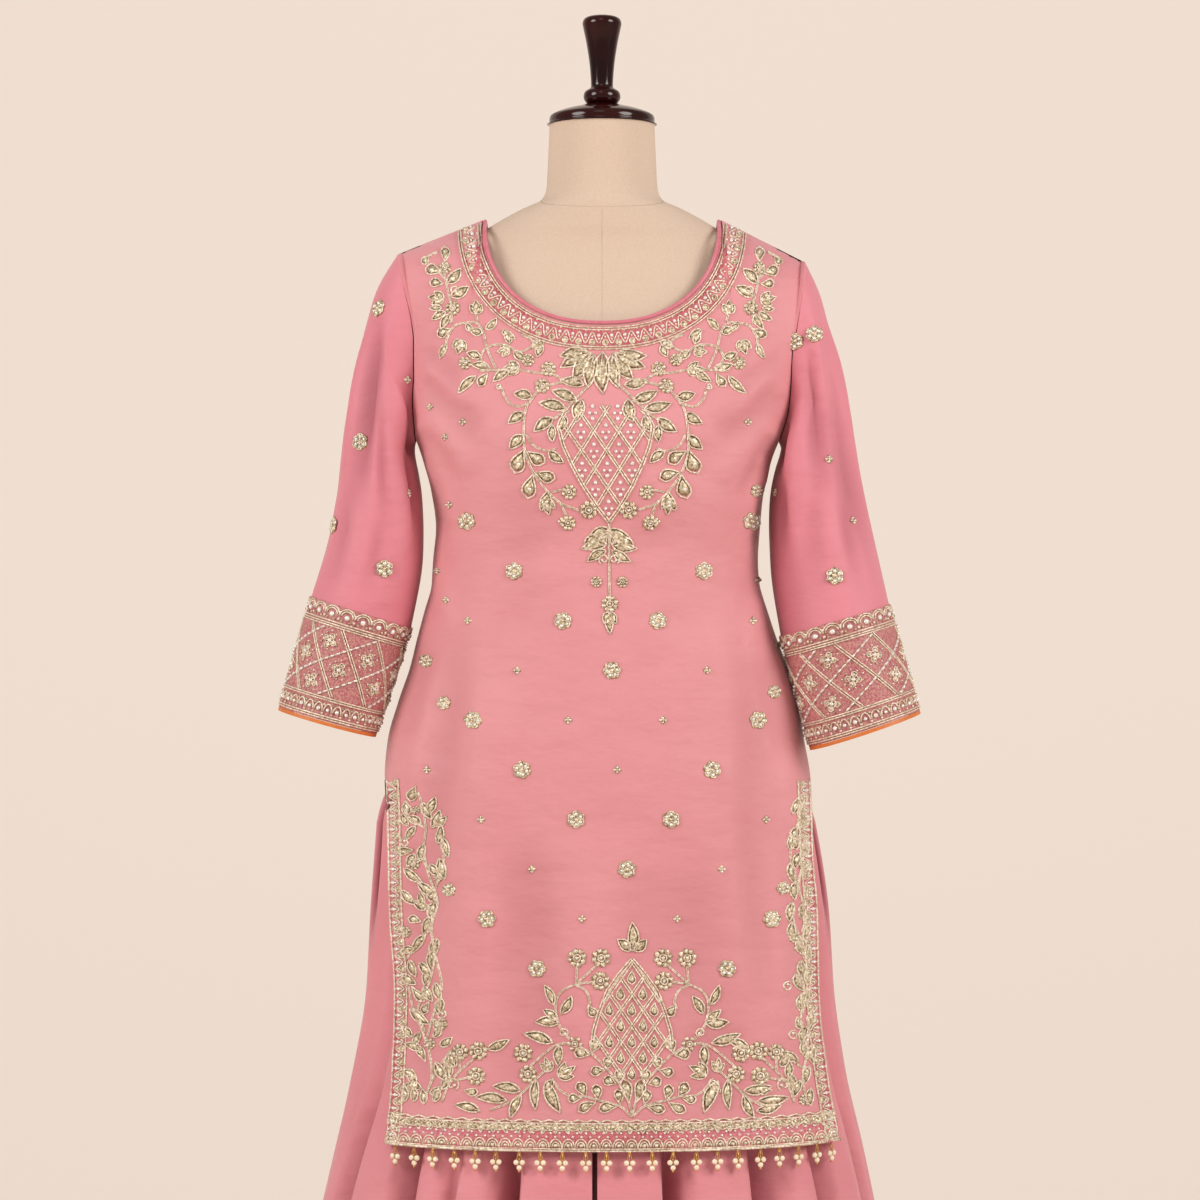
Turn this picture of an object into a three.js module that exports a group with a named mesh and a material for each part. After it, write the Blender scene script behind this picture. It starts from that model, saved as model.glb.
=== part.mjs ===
// A salwar kameez suit on a limbless dress form.
//
// The suit is a knee-length kameez (tunic) with side slits and three-quarter sleeves over a sharara,
// a pair of wide, pleated trousers. The form is a padded torso on a pole and a round foot.
//
// Millimetres, +Z up. The suit faces -Y and the wearer's left is at +X. The origin is the middle of
// the foot's underside. Each piece of cloth is a wall of even thickness, built from rows of points
// that go down the garment, each row running from left to right as seen from outside.
import * as THREE from "three";

// ---------------------------------------------------------------- driving dimensions
const WALL = 1.4; // cloth, with its embroidery backing
const SEAM_GAP = 0.3; // between the pieces that a seam joins
const ARMHOLE_GAP = 1.5; // the armhole seams are curved, so their straight facets need more
const BODY_ROUND = 2.3; // exponent of the kameez's oval sections: 2 is an ellipse

const NECK_Z = 1430; // where the neckline meets the shoulder seam
const NECK_HALF = 119; // half the neck's width
const NECK_DROP_FRONT = 112;
const NECK_DROP_BACK = 58;
const NECK_SHARE = 0.58; // the share of a panel's width at the top that the neckline takes
const ARMPIT_Z = 1208;
const ARMHOLE_FRONT = 48; // how far the armhole seam comes forward of the side seam
const ARMHOLE_BACK = 44;
const SLIT_Z = 875; // top of the side slits
const HEM_Z = 522; // of the kameez
const FRINGE_DROP = 23; // length of the bead drops under the front hem

const CUFF_PROUD = 0.7; // what the couched cuff stands out from the sleeve
const BINDING_DEPTH = 4;
const PIPING_RADIUS = 1.8;

const WAISTBAND_TOP_Z = 1066;
const WAISTBAND_FOOT_Z = 1038;
const WAISTBAND = { west: -162, east: 151, front: 105, back: 82 }; // its reach to each side
const CROTCH_Z = 742;
const SHARARA_HEM_Z = 30;
const LEG_DIVIDE_X = -7; // where the two legs part at the front and the back
const LEG_ROUND = 2.2; // exponent of the sharara's oval sections
const LEG_PARTING = 2.5; // half the gap between the legs below the crotch
const SWELL_HALF_TURN = 17; // half the width of a side fold, in degrees
const PLEATS_CLOSED = 0.12; // the share of their depth that the pleats keep at the waist
const PLEATS_OPEN_FROM_Z = 560; // below this the pleats open, until they are fully open
const PLEATS_OPEN_OVER = 430;

const POLE_RADIUS = 12.5;
const FOOT_RADIUS = 195;
const FOOT_HEIGHT = 12;
const PLATE_X = 180; // the form's flat armhole plates
const FORM_FOOT_Z = 800;
const NECK_TOP_Z = 1524.7;

// ---------------------------------------------------------------- section tables
// Oval sections of the kameez at each height: its side limits and its reach to the front and back.
// Above the armpit and below the slits the panels stop short of these limits.
const kameezSections = [
  { z: 1432, left: -124, right: 122, front: 12, back: 12 },
  { z: 1415, left: -166, right: 163, front: 45, back: 41 },
  { z: 1396, left: -207, right: 205, front: 62, back: 57 },
  { z: 1380, left: -213, right: 211, front: 71, back: 66 },
  { z: 1350, left: -215, right: 213, front: 80, back: 76 },
  { z: 1318, left: -214, right: 212, front: 88, back: 83 },
  { z: 1280, left: -210, right: 207, front: 102, back: 91 },
  { z: 1240, left: -200, right: 195, front: 116, back: 95 },
  { z: 1208, left: -185, right: 176, front: 125, back: 94 },
  { z: 1160, left: -171, right: 162, front: 123, back: 88 },
  { z: 1122, left: -166, right: 158, front: 116, back: 83 },
  { z: 1090, left: -168, right: 156, front: 112, back: 82 },
  { z: 1065, left: -170, right: 157, front: 113, back: 86 },
  { z: 1040, left: -177, right: 165, front: 116, back: 93 },
  { z: 1010, left: -185, right: 175, front: 120, back: 101 },
  { z: 982, left: -192, right: 186, front: 124, back: 109 },
  { z: 950, left: -203, right: 196, front: 128, back: 116 },
  { z: 910, left: -214, right: 202, front: 132, back: 122 },
  { z: 875, left: -217, right: 208, front: 136, back: 126 },
  { z: 850, left: -216, right: 210, front: 138, back: 128 },
  { z: 800, left: -219, right: 215, front: 141, back: 131 },
  { z: 744, left: -223, right: 222, front: 144, back: 134 },
  { z: 661, left: -228, right: 230, front: 148, back: 138 },
  { z: 583, left: -243, right: 243, front: 153, back: 144 },
  { z: 522, left: -262, right: 260, front: 158, back: 150 },
];

// The free edges of the panels below the slits, each as seen from the front.
const slitEdges = [
  { z: 875, frontLeft: -217, frontRight: 208, backLeft: -217, backRight: 208 },
  { z: 850, frontLeft: -214.5, frontRight: 208.5, backLeft: -214.5, backRight: 208.5 },
  { z: 800, frontLeft: -212, frontRight: 209, backLeft: -214, backRight: 210 },
  { z: 744, frontLeft: -210, frontRight: 213, backLeft: -214, backRight: 214 },
  { z: 661, frontLeft: -204, frontRight: 214, backLeft: -213, backRight: 217 },
  { z: 583, frontLeft: -206, frontRight: 222, backLeft: -216, backRight: 223 },
  { z: 522, frontLeft: -211, frontRight: 233, backLeft: -221, backRight: 230 },
];

// The armhole seams seen from the front, from the shoulder tip to the armpit.
const armholeAtLeft = [
  { z: 1396, x: -203 },
  { z: 1358, x: -195 },
  { z: 1328, x: -188 },
  { z: 1305, x: -185.5 },
  { z: 1274, x: -185.5 },
  { z: 1246, x: -187 },
  { z: 1208, x: -185 },
];
const armholeAtRight = [
  { z: 1388, x: 202 },
  { z: 1358, x: 198 },
  { z: 1320, x: 192 },
  { z: 1289, x: 187 },
  { z: 1262, x: 186 },
  { z: 1238, x: 184 },
  { z: 1208, x: 176 },
];

// Sleeve sections below the armhole: their ends at -X (west) and +X (east), half their depth, and the
// middle of that depth. The last section is the top of the cuff.
const sleeveAtLeft = [
  { westX: -223, westZ: 1364, eastX: -187, eastZ: 1203, depth: 54, middleY: 0 },
  { westX: -233, westZ: 1334, eastX: -187, eastZ: 1196, depth: 58, middleY: -1 },
  { westX: -244, westZ: 1288, eastX: -185.5, eastZ: 1187, depth: 61, middleY: -2 },
  { westX: -252.5, westZ: 1231, eastX: -182.5, eastZ: 1173, depth: 61, middleY: -4 },
  { westX: -260, westZ: 1180, eastX: -179.5, eastZ: 1151, depth: 60, middleY: -6 },
  { westX: -266.5, westZ: 1142, eastX: -178, eastZ: 1115, depth: 58, middleY: -9 },
  { westX: -274, westZ: 1104, eastX: -180, eastZ: 1076, depth: 56, middleY: -12 },
  { westX: -289, westZ: 1054, eastX: -190, eastZ: 1023, depth: 53, middleY: -16 },
];
const sleeveAtRight = [
  { westX: 179, westZ: 1201, eastX: 217, eastZ: 1357, depth: 54, middleY: -1 },
  { westX: 177, westZ: 1192, eastX: 226, eastZ: 1324, depth: 58, middleY: -3 },
  { westX: 173, westZ: 1180, eastX: 236, eastZ: 1283, depth: 62, middleY: -6 },
  { westX: 168.5, westZ: 1160, eastX: 247, eastZ: 1228, depth: 62, middleY: -10 },
  { westX: 166.5, westZ: 1138, eastX: 257, eastZ: 1176, depth: 61, middleY: -14 },
  { westX: 166.5, westZ: 1108, eastX: 264.5, eastZ: 1138, depth: 60, middleY: -18 },
  { westX: 169, westZ: 1066, eastX: 273, eastZ: 1098, depth: 59, middleY: -24 },
  { westX: 177, westZ: 1015, eastX: 284, eastZ: 1046, depth: 57, middleY: -34 },
];
const cuffFootAtLeft = { westX: -320, westZ: 945, eastX: -224, eastZ: 918, depth: 51, middleY: -24 };
const cuffFootAtRight = { westX: 205, westZ: 906, eastX: 313, eastZ: 942, depth: 55, middleY: -44 };

// The sharara: its outline at each height, and how far a side fold swells through the kameez's slit.
const shararaSections = [
  { z: 1038, left: -164, right: 153, front: 107, back: 84, swellLeft: 0, swellRight: 0 },
  { z: 1010, left: -174, right: 164, front: 111, back: 92, swellLeft: 0, swellRight: 0 },
  { z: 980, left: -183, right: 176, front: 115, back: 100, swellLeft: 0, swellRight: 0 },
  { z: 930, left: -200, right: 190, front: 121, back: 108, swellLeft: 0, swellRight: 0 },
  { z: 880, left: -208, right: 198, front: 126, back: 115, swellLeft: 0, swellRight: 0 },
  { z: 850, left: -208, right: 201, front: 128, back: 118, swellLeft: 11, swellRight: 5 },
  { z: 827, left: -209, right: 204, front: 129, back: 119, swellLeft: 16, swellRight: 9 },
  { z: 744, left: -214, right: 213, front: 134, back: 124, swellLeft: 17, swellRight: 13 },
  { z: 661, left: -220, right: 221, front: 138, back: 128, swellLeft: 15, swellRight: 10 },
  { z: 583, left: -235, right: 235, front: 143, back: 134, swellLeft: 13, swellRight: 7 },
  { z: 522, left: -254, right: 250, front: 148, back: 140, swellLeft: 5, swellRight: 3 },
  { z: 450, left: -273, right: 265, front: 162, back: 156, swellLeft: 0, swellRight: 0 },
  { z: 300, left: -304, right: 292, front: 188, back: 182, swellLeft: 0, swellRight: 0 },
  { z: 150, left: -335, right: 318, front: 214, back: 208, swellLeft: 0, swellRight: 0 },
  { z: 30, left: -360, right: 340, front: 236, back: 230, swellLeft: 0, swellRight: 0 },
];

// Pleat valleys of each leg, by their turn from the front middle (0 degrees) round to the back (180).
const pleatsAtLeft = [
  { turn: 18.5, width: 4.5, depth: 22 },
  { turn: 31, width: 3, depth: 8 },
  { turn: 44, width: 5, depth: 22 },
  { turn: 68, width: 6, depth: 24 },
  { turn: 101, width: 7, depth: 24 },
  { turn: 124, width: 5, depth: 18 },
  { turn: 141, width: 5.5, depth: 22 },
  { turn: 160, width: 5, depth: 20 },
];
const pleatsAtRight = [
  { turn: 15, width: 3.6, depth: 20 },
  { turn: 38, width: 6, depth: 20 },
  { turn: 55, width: 5, depth: 17 },
  { turn: 77, width: 5, depth: 21 },
  { turn: 104, width: 6.5, depth: 23 },
  { turn: 122, width: 5, depth: 17 },
  { turn: 143, width: 6, depth: 22 },
  { turn: 162, width: 4.5, depth: 18 },
];

// The largest folds of the kameez: soft lines from top to foot, raised (+) or sunk (-).
const frontFolds = [
  { topX: -180, topZ: 1268, footX: -116, footZ: 1212, width: 13, depth: -3.5 },
  { topX: -178, topZ: 1236, footX: -122, footZ: 1168, width: 12, depth: 3.5 },
  { topX: 176, topZ: 1262, footX: 110, footZ: 1204, width: 13, depth: -3.5 },
  { topX: 172, topZ: 1230, footX: 116, footZ: 1156, width: 12, depth: 3.5 },
  { topX: -150, topZ: 1040, footX: -168, footZ: 720, width: 15, depth: -4 },
  { topX: 140, topZ: 1030, footX: 166, footZ: 640, width: 15, depth: -4 },
  { topX: -58, topZ: 830, footX: -88, footZ: 520, width: 26, depth: -5 },
  { topX: 92, topZ: 800, footX: 122, footZ: 520, width: 26, depth: -5 },
];
const backFolds = [
  { topX: -160, topZ: 1262, footX: -90, footZ: 1190, width: 15, depth: -3.5 },
  { topX: 158, topZ: 1258, footX: 94, footZ: 1180, width: 15, depth: -3.5 },
  { topX: -60, topZ: 1090, footX: -74, footZ: 520, width: 22, depth: -5 },
  { topX: 52, topZ: 1070, footX: 78, footZ: 520, width: 22, depth: -5 },
  { topX: 148, topZ: 1020, footX: 166, footZ: 620, width: 16, depth: -4 },
];

// The largest folds of the sleeves: the turn is counted from the front towards +X, the ends are
// shares of the sleeve's length.
const sleeveFoldsAtLeft = [
  { turn: -32, from: 0.05, to: 0.8, width: 15, depth: -6 },
  { turn: 22, from: 0.02, to: 0.5, width: 16, depth: 4 },
  { turn: 150, from: 0.1, to: 0.85, width: 22, depth: -6 },
  { turn: 215, from: 0.05, to: 0.7, width: 20, depth: -5 },
];
const sleeveFoldsAtRight = [
  { turn: 8, from: 0.05, to: 0.75, width: 15, depth: -5 },
  { turn: -30, from: 0.1, to: 0.9, width: 16, depth: 4 },
  { turn: 48, from: 0.3, to: 0.95, width: 16, depth: -4 },
  { turn: 160, from: 0.1, to: 0.8, width: 22, depth: -6 },
  { turn: 220, from: 0.1, to: 0.9, width: 20, depth: -5 },
];

// The dress form: its half width and its reach to the front and back, and how round each section is.
const formSections = [
  { z: 1524.7, half: 52.5, front: 52.5, back: 52.5, round: 2 },
  { z: 1490, half: 54, front: 54, back: 54, round: 2 },
  { z: 1462, half: 55.5, front: 56, back: 55, round: 2 },
  { z: 1450, half: 60, front: 58, back: 57, round: 2 },
  { z: 1440, half: 81, front: 60, back: 58, round: 1.85 },
  { z: 1430, half: 100, front: 60, back: 58, round: 1.7 },
  { z: 1421, half: 115, front: 60, back: 57, round: 1.65 },
  { z: 1408, half: 136, front: 59, back: 56, round: 1.65 },
  { z: 1394, half: 158, front: 60, back: 56, round: 1.7 },
  { z: 1375, half: 180, front: 65, back: 60, round: 1.85 },
  { z: 1350, half: 196, front: 72, back: 68, round: 2.05 },
  { z: 1318, half: 200, front: 81, back: 76, round: 2.25 },
  { z: 1280, half: 199, front: 95, back: 83, round: 2.3 },
  { z: 1240, half: 188, front: 108, back: 87, round: 2.3 },
  { z: 1208, half: 170, front: 117, back: 86, round: 2.3 },
  { z: 1160, half: 152, front: 114, back: 80, round: 2.3 },
  { z: 1122, half: 143, front: 104, back: 74, round: 2.3 },
  { z: 1090, half: 140, front: 97, back: 71, round: 2.3 },
  { z: 1065, half: 141, front: 96, back: 72, round: 2.3 },
  { z: 1040, half: 146, front: 98, back: 76, round: 2.3 },
  { z: 1000, half: 156, front: 102, back: 84, round: 2.3 },
  { z: 950, half: 168, front: 106, back: 94, round: 2.3 },
  { z: 900, half: 175, front: 108, back: 100, round: 2.3 },
  { z: 850, half: 176, front: 107, back: 100, round: 2.3 },
  { z: 818, half: 172, front: 103, back: 96, round: 2.3 },
  { z: 804, half: 164, front: 96, back: 89, round: 2.3 },
  { z: 800, half: 152, front: 86, back: 79, round: 2.3 },
];

// ---------------------------------------------------------------- small mathematics
const radians = THREE.MathUtils.degToRad;
const mix = THREE.MathUtils.lerp;

// A table's column at any height, on a smooth curve that never overshoots its rows.
function between(table, column, z) {
  const rows = table[0].z < table[table.length - 1].z ? table : [...table].reverse();
  if (z <= rows[0].z) return rows[0][column];
  if (z >= rows[rows.length - 1].z) return rows[rows.length - 1][column];
  const slope = (k) => (rows[k + 1][column] - rows[k][column]) / (rows[k + 1].z - rows[k].z);
  const tangent = (k) => {
    if (k === 0) return slope(0);
    if (k === rows.length - 1) return slope(k - 1);
    const before = slope(k - 1);
    const after = slope(k);
    return before * after <= 0 ? 0 : (2 * before * after) / (before + after);
  };
  const k = rows.findIndex((row) => row.z > z) - 1;
  const span = rows[k + 1].z - rows[k].z;
  const t = (z - rows[k].z) / span;
  return (
    rows[k][column] * (1 + 2 * t) * (1 - t) ** 2 +
    rows[k + 1][column] * t * t * (3 - 2 * t) +
    span * t * (1 - t) * (tangent(k) * (1 - t) - tangent(k + 1) * t)
  );
}

// A sine or cosine bent to draw an oval whose exponent is `round`.
const bent = (value, round) => Math.sign(value) * Math.abs(value) ** (2 / round);

// A soft bump of height 1 at 0 that fades out towards 1 and -1.
const bump = (t) => (Math.abs(t) < 1 ? (1 + Math.cos(Math.PI * t)) / 2 : 0);

// ---------------------------------------------------------------- closed meshes
function meshFrom(points, triangles) {
  const geometry = new THREE.BufferGeometry();
  geometry.setAttribute(
    "position",
    new THREE.Float32BufferAttribute(points.flatMap((p) => p.toArray()), 3),
  );
  geometry.setIndex(triangles);
  geometry.computeVertexNormals();
  return geometry;
}

// The outward direction at each point of a surface given as rows of points.
function outwardDirections(rows, wraps) {
  const last = rows[0].length - 1;
  return rows.map((row, i) =>
    row.map((_, j) => {
      const up = rows[Math.max(i - 1, 0)][j];
      const down = rows[Math.min(i + 1, rows.length - 1)][j];
      const west = wraps ? row[(j + last) % (last + 1)] : row[Math.max(j - 1, 0)];
      const east = wraps ? row[(j + 1) % (last + 1)] : row[Math.min(j + 1, last)];
      const downward = down.clone().sub(up);
      const eastward = east.clone().sub(west);
      return downward.cross(eastward).normalize();
    }),
  );
}

// Moves each point of a surface outwards by what `height` says of it.
function raised(rows, height, wraps = false) {
  const outward = outwardDirections(rows, wraps);
  return rows.map((row, i) =>
    row.map((point, j) => point.clone().addScaledVector(outward[i][j], height(point, i, j))),
  );
}

// A closed wall: the given rows are its outer face, and its inner face lies one wall further in.
// `wraps` joins each row's end to its start, as in a sleeve.
// `settle` may hold the inner face back, as at a seam where two panels meet at an angle.
function clothWall(rows, wall = WALL, wraps = false, settle = (point) => point) {
  const inner = raised(rows, () => -wall, wraps).map((row) => row.map(settle));
  const columns = rows[0].length;
  const count = rows.length * columns;
  const outerAt = (i, j) => i * columns + (j % columns);
  const innerAt = (i, j) => count + outerAt(i, j);
  const triangles = [];
  const quad = (a, b, c, d) => triangles.push(a, b, c, a, c, d);
  const steps = wraps ? columns : columns - 1;
  for (let i = 0; i < rows.length - 1; i++) {
    for (let j = 0; j < steps; j++) {
      quad(outerAt(i, j), outerAt(i + 1, j), outerAt(i + 1, j + 1), outerAt(i, j + 1));
      quad(innerAt(i, j), innerAt(i, j + 1), innerAt(i + 1, j + 1), innerAt(i + 1, j));
    }
  }
  const foot = rows.length - 1;
  for (let j = 0; j < steps; j++) {
    quad(outerAt(0, j), outerAt(0, j + 1), innerAt(0, j + 1), innerAt(0, j));
    quad(outerAt(foot, j), innerAt(foot, j), innerAt(foot, j + 1), outerAt(foot, j + 1));
  }
  if (!wraps) {
    const end = columns - 1;
    for (let i = 0; i < foot; i++) {
      quad(outerAt(i, 0), innerAt(i, 0), innerAt(i + 1, 0), outerAt(i + 1, 0));
      quad(outerAt(i, end), outerAt(i + 1, end), innerAt(i + 1, end), innerAt(i, end));
    }
  }
  return meshFrom([...rows.flat(), ...inner.flat()], triangles);
}

// A closed solid through rings that go down, each running left to right as seen from outside.
function loft(rings) {
  const sides = rings[0].length;
  const triangles = [];
  for (let i = 0; i < rings.length - 1; i++) {
    for (let j = 0; j < sides; j++) {
      const next = (j + 1) % sides;
      const [a, b] = [i * sides + j, (i + 1) * sides + j];
      const [c, d] = [(i + 1) * sides + next, i * sides + next];
      triangles.push(a, b, c, a, c, d);
    }
  }
  const foot = (rings.length - 1) * sides;
  for (let j = 1; j < sides - 1; j++) {
    triangles.push(0, j, j + 1);
    triangles.push(foot, foot + j + 1, foot + j);
  }
  return meshFrom(rings.flat(), triangles);
}

// ---------------------------------------------------------------- the kameez's surface
// side is -1 for the front panel and +1 for the back panel.
function kameezDepth(x, z, side) {
  const left = between(kameezSections, "left", z);
  const right = between(kameezSections, "right", z);
  const reach = between(kameezSections, side < 0 ? "front" : "back", z);
  const share = Math.min(Math.abs(x - (left + right) / 2) / ((right - left) / 2), 1);
  return side * reach * (1 - share ** BODY_ROUND) ** (1 / BODY_ROUND);
}

// One step down an armhole seam: step 0 is the shoulder tip, ARMHOLE_STEPS the armpit.
const ARMHOLE_STEPS = 9;
function armholePoint(seam, step, side) {
  const fall = (1 - Math.cos((Math.PI * step) / ARMHOLE_STEPS)) / 2;
  const z = mix(seam[0].z, ARMPIT_Z, fall);
  const reach = side < 0 ? ARMHOLE_FRONT : ARMHOLE_BACK;
  const y = side * reach * Math.sin((Math.PI * step) / ARMHOLE_STEPS) ** 0.75;
  return new THREE.Vector3(between(seam, "x", z), y, z);
}

// The top edge of a panel: shoulder seam, neckline, shoulder seam. s runs from -1 to 1 across it.
function topEdge(s, side) {
  const drop = side < 0 ? NECK_DROP_FRONT : NECK_DROP_BACK;
  if (Math.abs(s) > NECK_SHARE) {
    const tip = s < 0 ? armholeAtLeft[0] : armholeAtRight[0];
    const along = (Math.abs(s) - NECK_SHARE) / (1 - NECK_SHARE);
    return { x: mix(Math.sign(s) * NECK_HALF, tip.x, along), z: mix(NECK_Z, tip.z, along) };
  }
  const turn = radians((s / NECK_SHARE) * 90);
  return { x: NECK_HALF * bent(Math.sin(turn), 2.3), z: NECK_Z - drop * bent(Math.cos(turn), 2.3) };
}

// The part of a panel above the armpit, row 0 to ARMHOLE_STEPS.
function yokePoint(s, row, side) {
  const top = topEdge(s, side);
  const share = row / ARMHOLE_STEPS;
  const armholeFall = (1 - Math.cos(Math.PI * share)) / 2;
  const fall = mix(share, armholeFall, s * s);
  const z = mix(top.z, ARMPIT_Z, fall);
  const seam = s < 0 ? armholeAtLeft : armholeAtRight;
  const edge = armholePoint(seam, row, side);
  const straightEdge = mix(seam[0].x, between(seam, "x", ARMPIT_Z), armholeFall);
  const x = mix(top.x, bodyPoint(s, ARMPIT_Z, side).x, fall) + (edge.x - straightEdge) * s ** 4;
  const atEdge = kameezDepth(edge.x, edge.z, side);
  const edgeShift = (edge.y - atEdge) * Math.abs(s) ** 10;
  const beside = Math.min(Math.abs(s) / NECK_SHARE, 1) ** 16;
  const seamShift = -kameezDepth(top.x, top.z, side) * beside * (1 - share) ** 4;
  const shift = Math.abs(s) === 1 ? edgeShift : edgeShift + seamShift;
  return new THREE.Vector3(x, kameezDepth(x, z, side) + shift, z);
}

// The part of a panel from the armpit down.
function bodyPoint(s, z, side) {
  const left = between(kameezSections, "left", z);
  const right = between(kameezSections, "right", z);
  const middle = (left + right) / 2;
  const half = (right - left) / 2;
  const name = (side < 0 ? "front" : "back") + (s < 0 ? "Left" : "Right");
  const edge = z < SLIT_Z ? Math.abs(between(slitEdges, name, z) - middle) / half : 1;
  const turn = Math.abs(s) * Math.asin(Math.min(edge, 1) ** (BODY_ROUND / 2));
  const x = middle + Math.sign(s) * half * bent(Math.sin(turn), BODY_ROUND);
  const reach = between(kameezSections, side < 0 ? "front" : "back", z);
  return new THREE.Vector3(x, side * reach * bent(Math.cos(turn), BODY_ROUND), z);
}

// The height of a panel's folds at a point seen from the front.
function foldHeight(folds, x, z) {
  let height = 0;
  for (const fold of folds) {
    const along = new THREE.Vector2(fold.footX - fold.topX, fold.footZ - fold.topZ);
    const from = new THREE.Vector2(x - fold.topX, z - fold.topZ);
    const length = along.length();
    const share = from.dot(along) / length ** 2;
    const aside = Math.abs(from.cross(along)) / length;
    const taper = bump(Math.min(Math.max(share * 2 - 1, -1), 1) ** 3);
    height += fold.depth * taper * bump(aside / (2 * fold.width));
  }
  return height;
}

// Keeps a point of one panel on its own side of the shoulder and side seams.
const ownSide = (side) => (point) => {
  point.y = side * Math.max(side * point.y, SEAM_GAP / 2 + 0.05);
  return point;
};

// The places of a panel's columns: each shoulder and the neckline are divided evenly.
function columnsAcross(shoulder, neck) {
  const places = [];
  for (let j = 0; j < shoulder; j++) places.push(mix(-1, -NECK_SHARE, j / shoulder));
  for (let j = 0; j <= neck; j++) places.push(mix(-NECK_SHARE, NECK_SHARE, j / neck));
  for (let j = 1; j <= shoulder; j++) places.push(mix(NECK_SHARE, 1, j / shoulder));
  return places;
}

function kameezRows(side, across, heights, folds) {
  const columns = across.length - 1;
  if (side > 0) across.reverse();
  const rows = [];
  for (let row = 0; row <= ARMHOLE_STEPS; row++) {
    rows.push(across.map((s) => yokePoint(s, row, side)));
  }
  for (const z of heights) rows.push(across.map((s) => bodyPoint(s, z, side)));
  const settled = rows.map((row) => row.map(ownSide(side)));
  return raised(settled, (p, i, j) => {
    const fromSeam = Math.min(j, columns - j) / 2;
    return foldHeight(folds, p.x, p.z) * Math.min(fromSeam, i / 2, 1);
  });
}

const frontHeights = [1175, 1140, 1100, 1055, 1005, 950, 900, 875, 845, 780, 700, 610, HEM_Z];
const backHeights = [1160, 1110, 1060, 1000, 935, 875, 845, 760, 650, HEM_Z];
const NECK_COLUMNS_FRONT = 14;
const NECK_COLUMNS_BACK = 12;
const SHOULDER_COLUMNS_FRONT = 5;
const SHOULDER_COLUMNS_BACK = 4;
const frontAcross = columnsAcross(SHOULDER_COLUMNS_FRONT, NECK_COLUMNS_FRONT);
const backAcross = columnsAcross(SHOULDER_COLUMNS_BACK, NECK_COLUMNS_BACK);
const frontRows = kameezRows(-1, frontAcross, frontHeights, frontFolds);
const backRows = kameezRows(1, backAcross, backHeights, backFolds);

// ---------------------------------------------------------------- sleeves
const SLEEVE_SIDES = 2 * ARMHOLE_STEPS;

// A sleeve section's points, from its end at -X round the front. `share` is how far down it lies.
function sleeveRing(section, folds, share) {
  return Array.from({ length: SLEEVE_SIDES }, (_, j) => {
    const turn = -90 + (360 / SLEEVE_SIDES) * j;
    const across = Math.sin(radians(turn));
    let swell = 0;
    for (const fold of folds) {
      const away = ((turn - fold.turn + 540) % 360) - 180;
      const along = (2 * (share - fold.from)) / (fold.to - fold.from) - 1;
      swell += fold.depth * bump(away / (2 * fold.width)) * bump(along);
    }
    const halfX = (section.eastX - section.westX) / 2;
    const halfZ = (section.eastZ - section.westZ) / 2;
    const width = Math.hypot(halfX, halfZ);
    const wider = 1 + swell / width;
    return new THREE.Vector3(
      section.westX + halfX + halfX * across * wider,
      section.middleY - Math.cos(radians(turn)) * (section.depth + swell),
      section.westZ + halfZ + halfZ * across * wider,
    );
  });
}

// The armhole seam as a ring in the same order as a sleeve's rings.
function armholeRing(seam, atLeft) {
  return Array.from({ length: SLEEVE_SIDES }, (_, j) => {
    const inFront = j <= ARMHOLE_STEPS;
    const fromWest = inFront ? j : SLEEVE_SIDES - j;
    return armholePoint(seam, atLeft ? fromWest : ARMHOLE_STEPS - fromWest, inFront ? -1 : 1);
  });
}

// Down a sleeve from just outside the armhole seam to just above the cuff.
const ARMPIT_SHIFT = 14; // turns the armhole's gap sideways, at the armpit above all
function sleeveRows(seam, sections, folds, atLeft) {
  const rings = sections.map((section, i) => sleeveRing(section, folds, (i + 1) / sections.length));
  const armhole = armholeRing(seam, atLeft);
  const start = armhole.map((point, j) => {
    const away = rings[0][j].clone().sub(point);
    away.x += atLeft ? -ARMPIT_SHIFT : ARMPIT_SHIFT;
    return point.clone().addScaledVector(away.normalize(), ARMHOLE_GAP);
  });
  const rows = [start, ...rings];
  const foot = rows[rows.length - 1];
  const before = rows[rows.length - 2];
  rows[rows.length - 1] = foot.map((point, j) => {
    const back = before[j].clone().sub(point).normalize();
    return point.clone().addScaledVector(back, SEAM_GAP);
  });
  return rows;
}

const cuffRing = (section) => sleeveRing(section, [], 1);

function cuffRows(top, foot) {
  const start = cuffRing(top);
  const end = cuffRing(foot);
  const rows = [0, 0.5, 1].map((share) => start.map((p, j) => p.clone().lerp(end[j], share)));
  return raised(rows, () => CUFF_PROUD, true);
}

function bindingRows(top, foot) {
  const start = cuffRing(top);
  const end = cuffRing(foot);
  const length = start[0].distanceTo(end[0]);
  const beyond = (distance) => start.map((p, j) => p.clone().lerp(end[j], 1 + distance / length));
  return [beyond(SEAM_GAP), beyond(SEAM_GAP + BINDING_DEPTH)];
}

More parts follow.
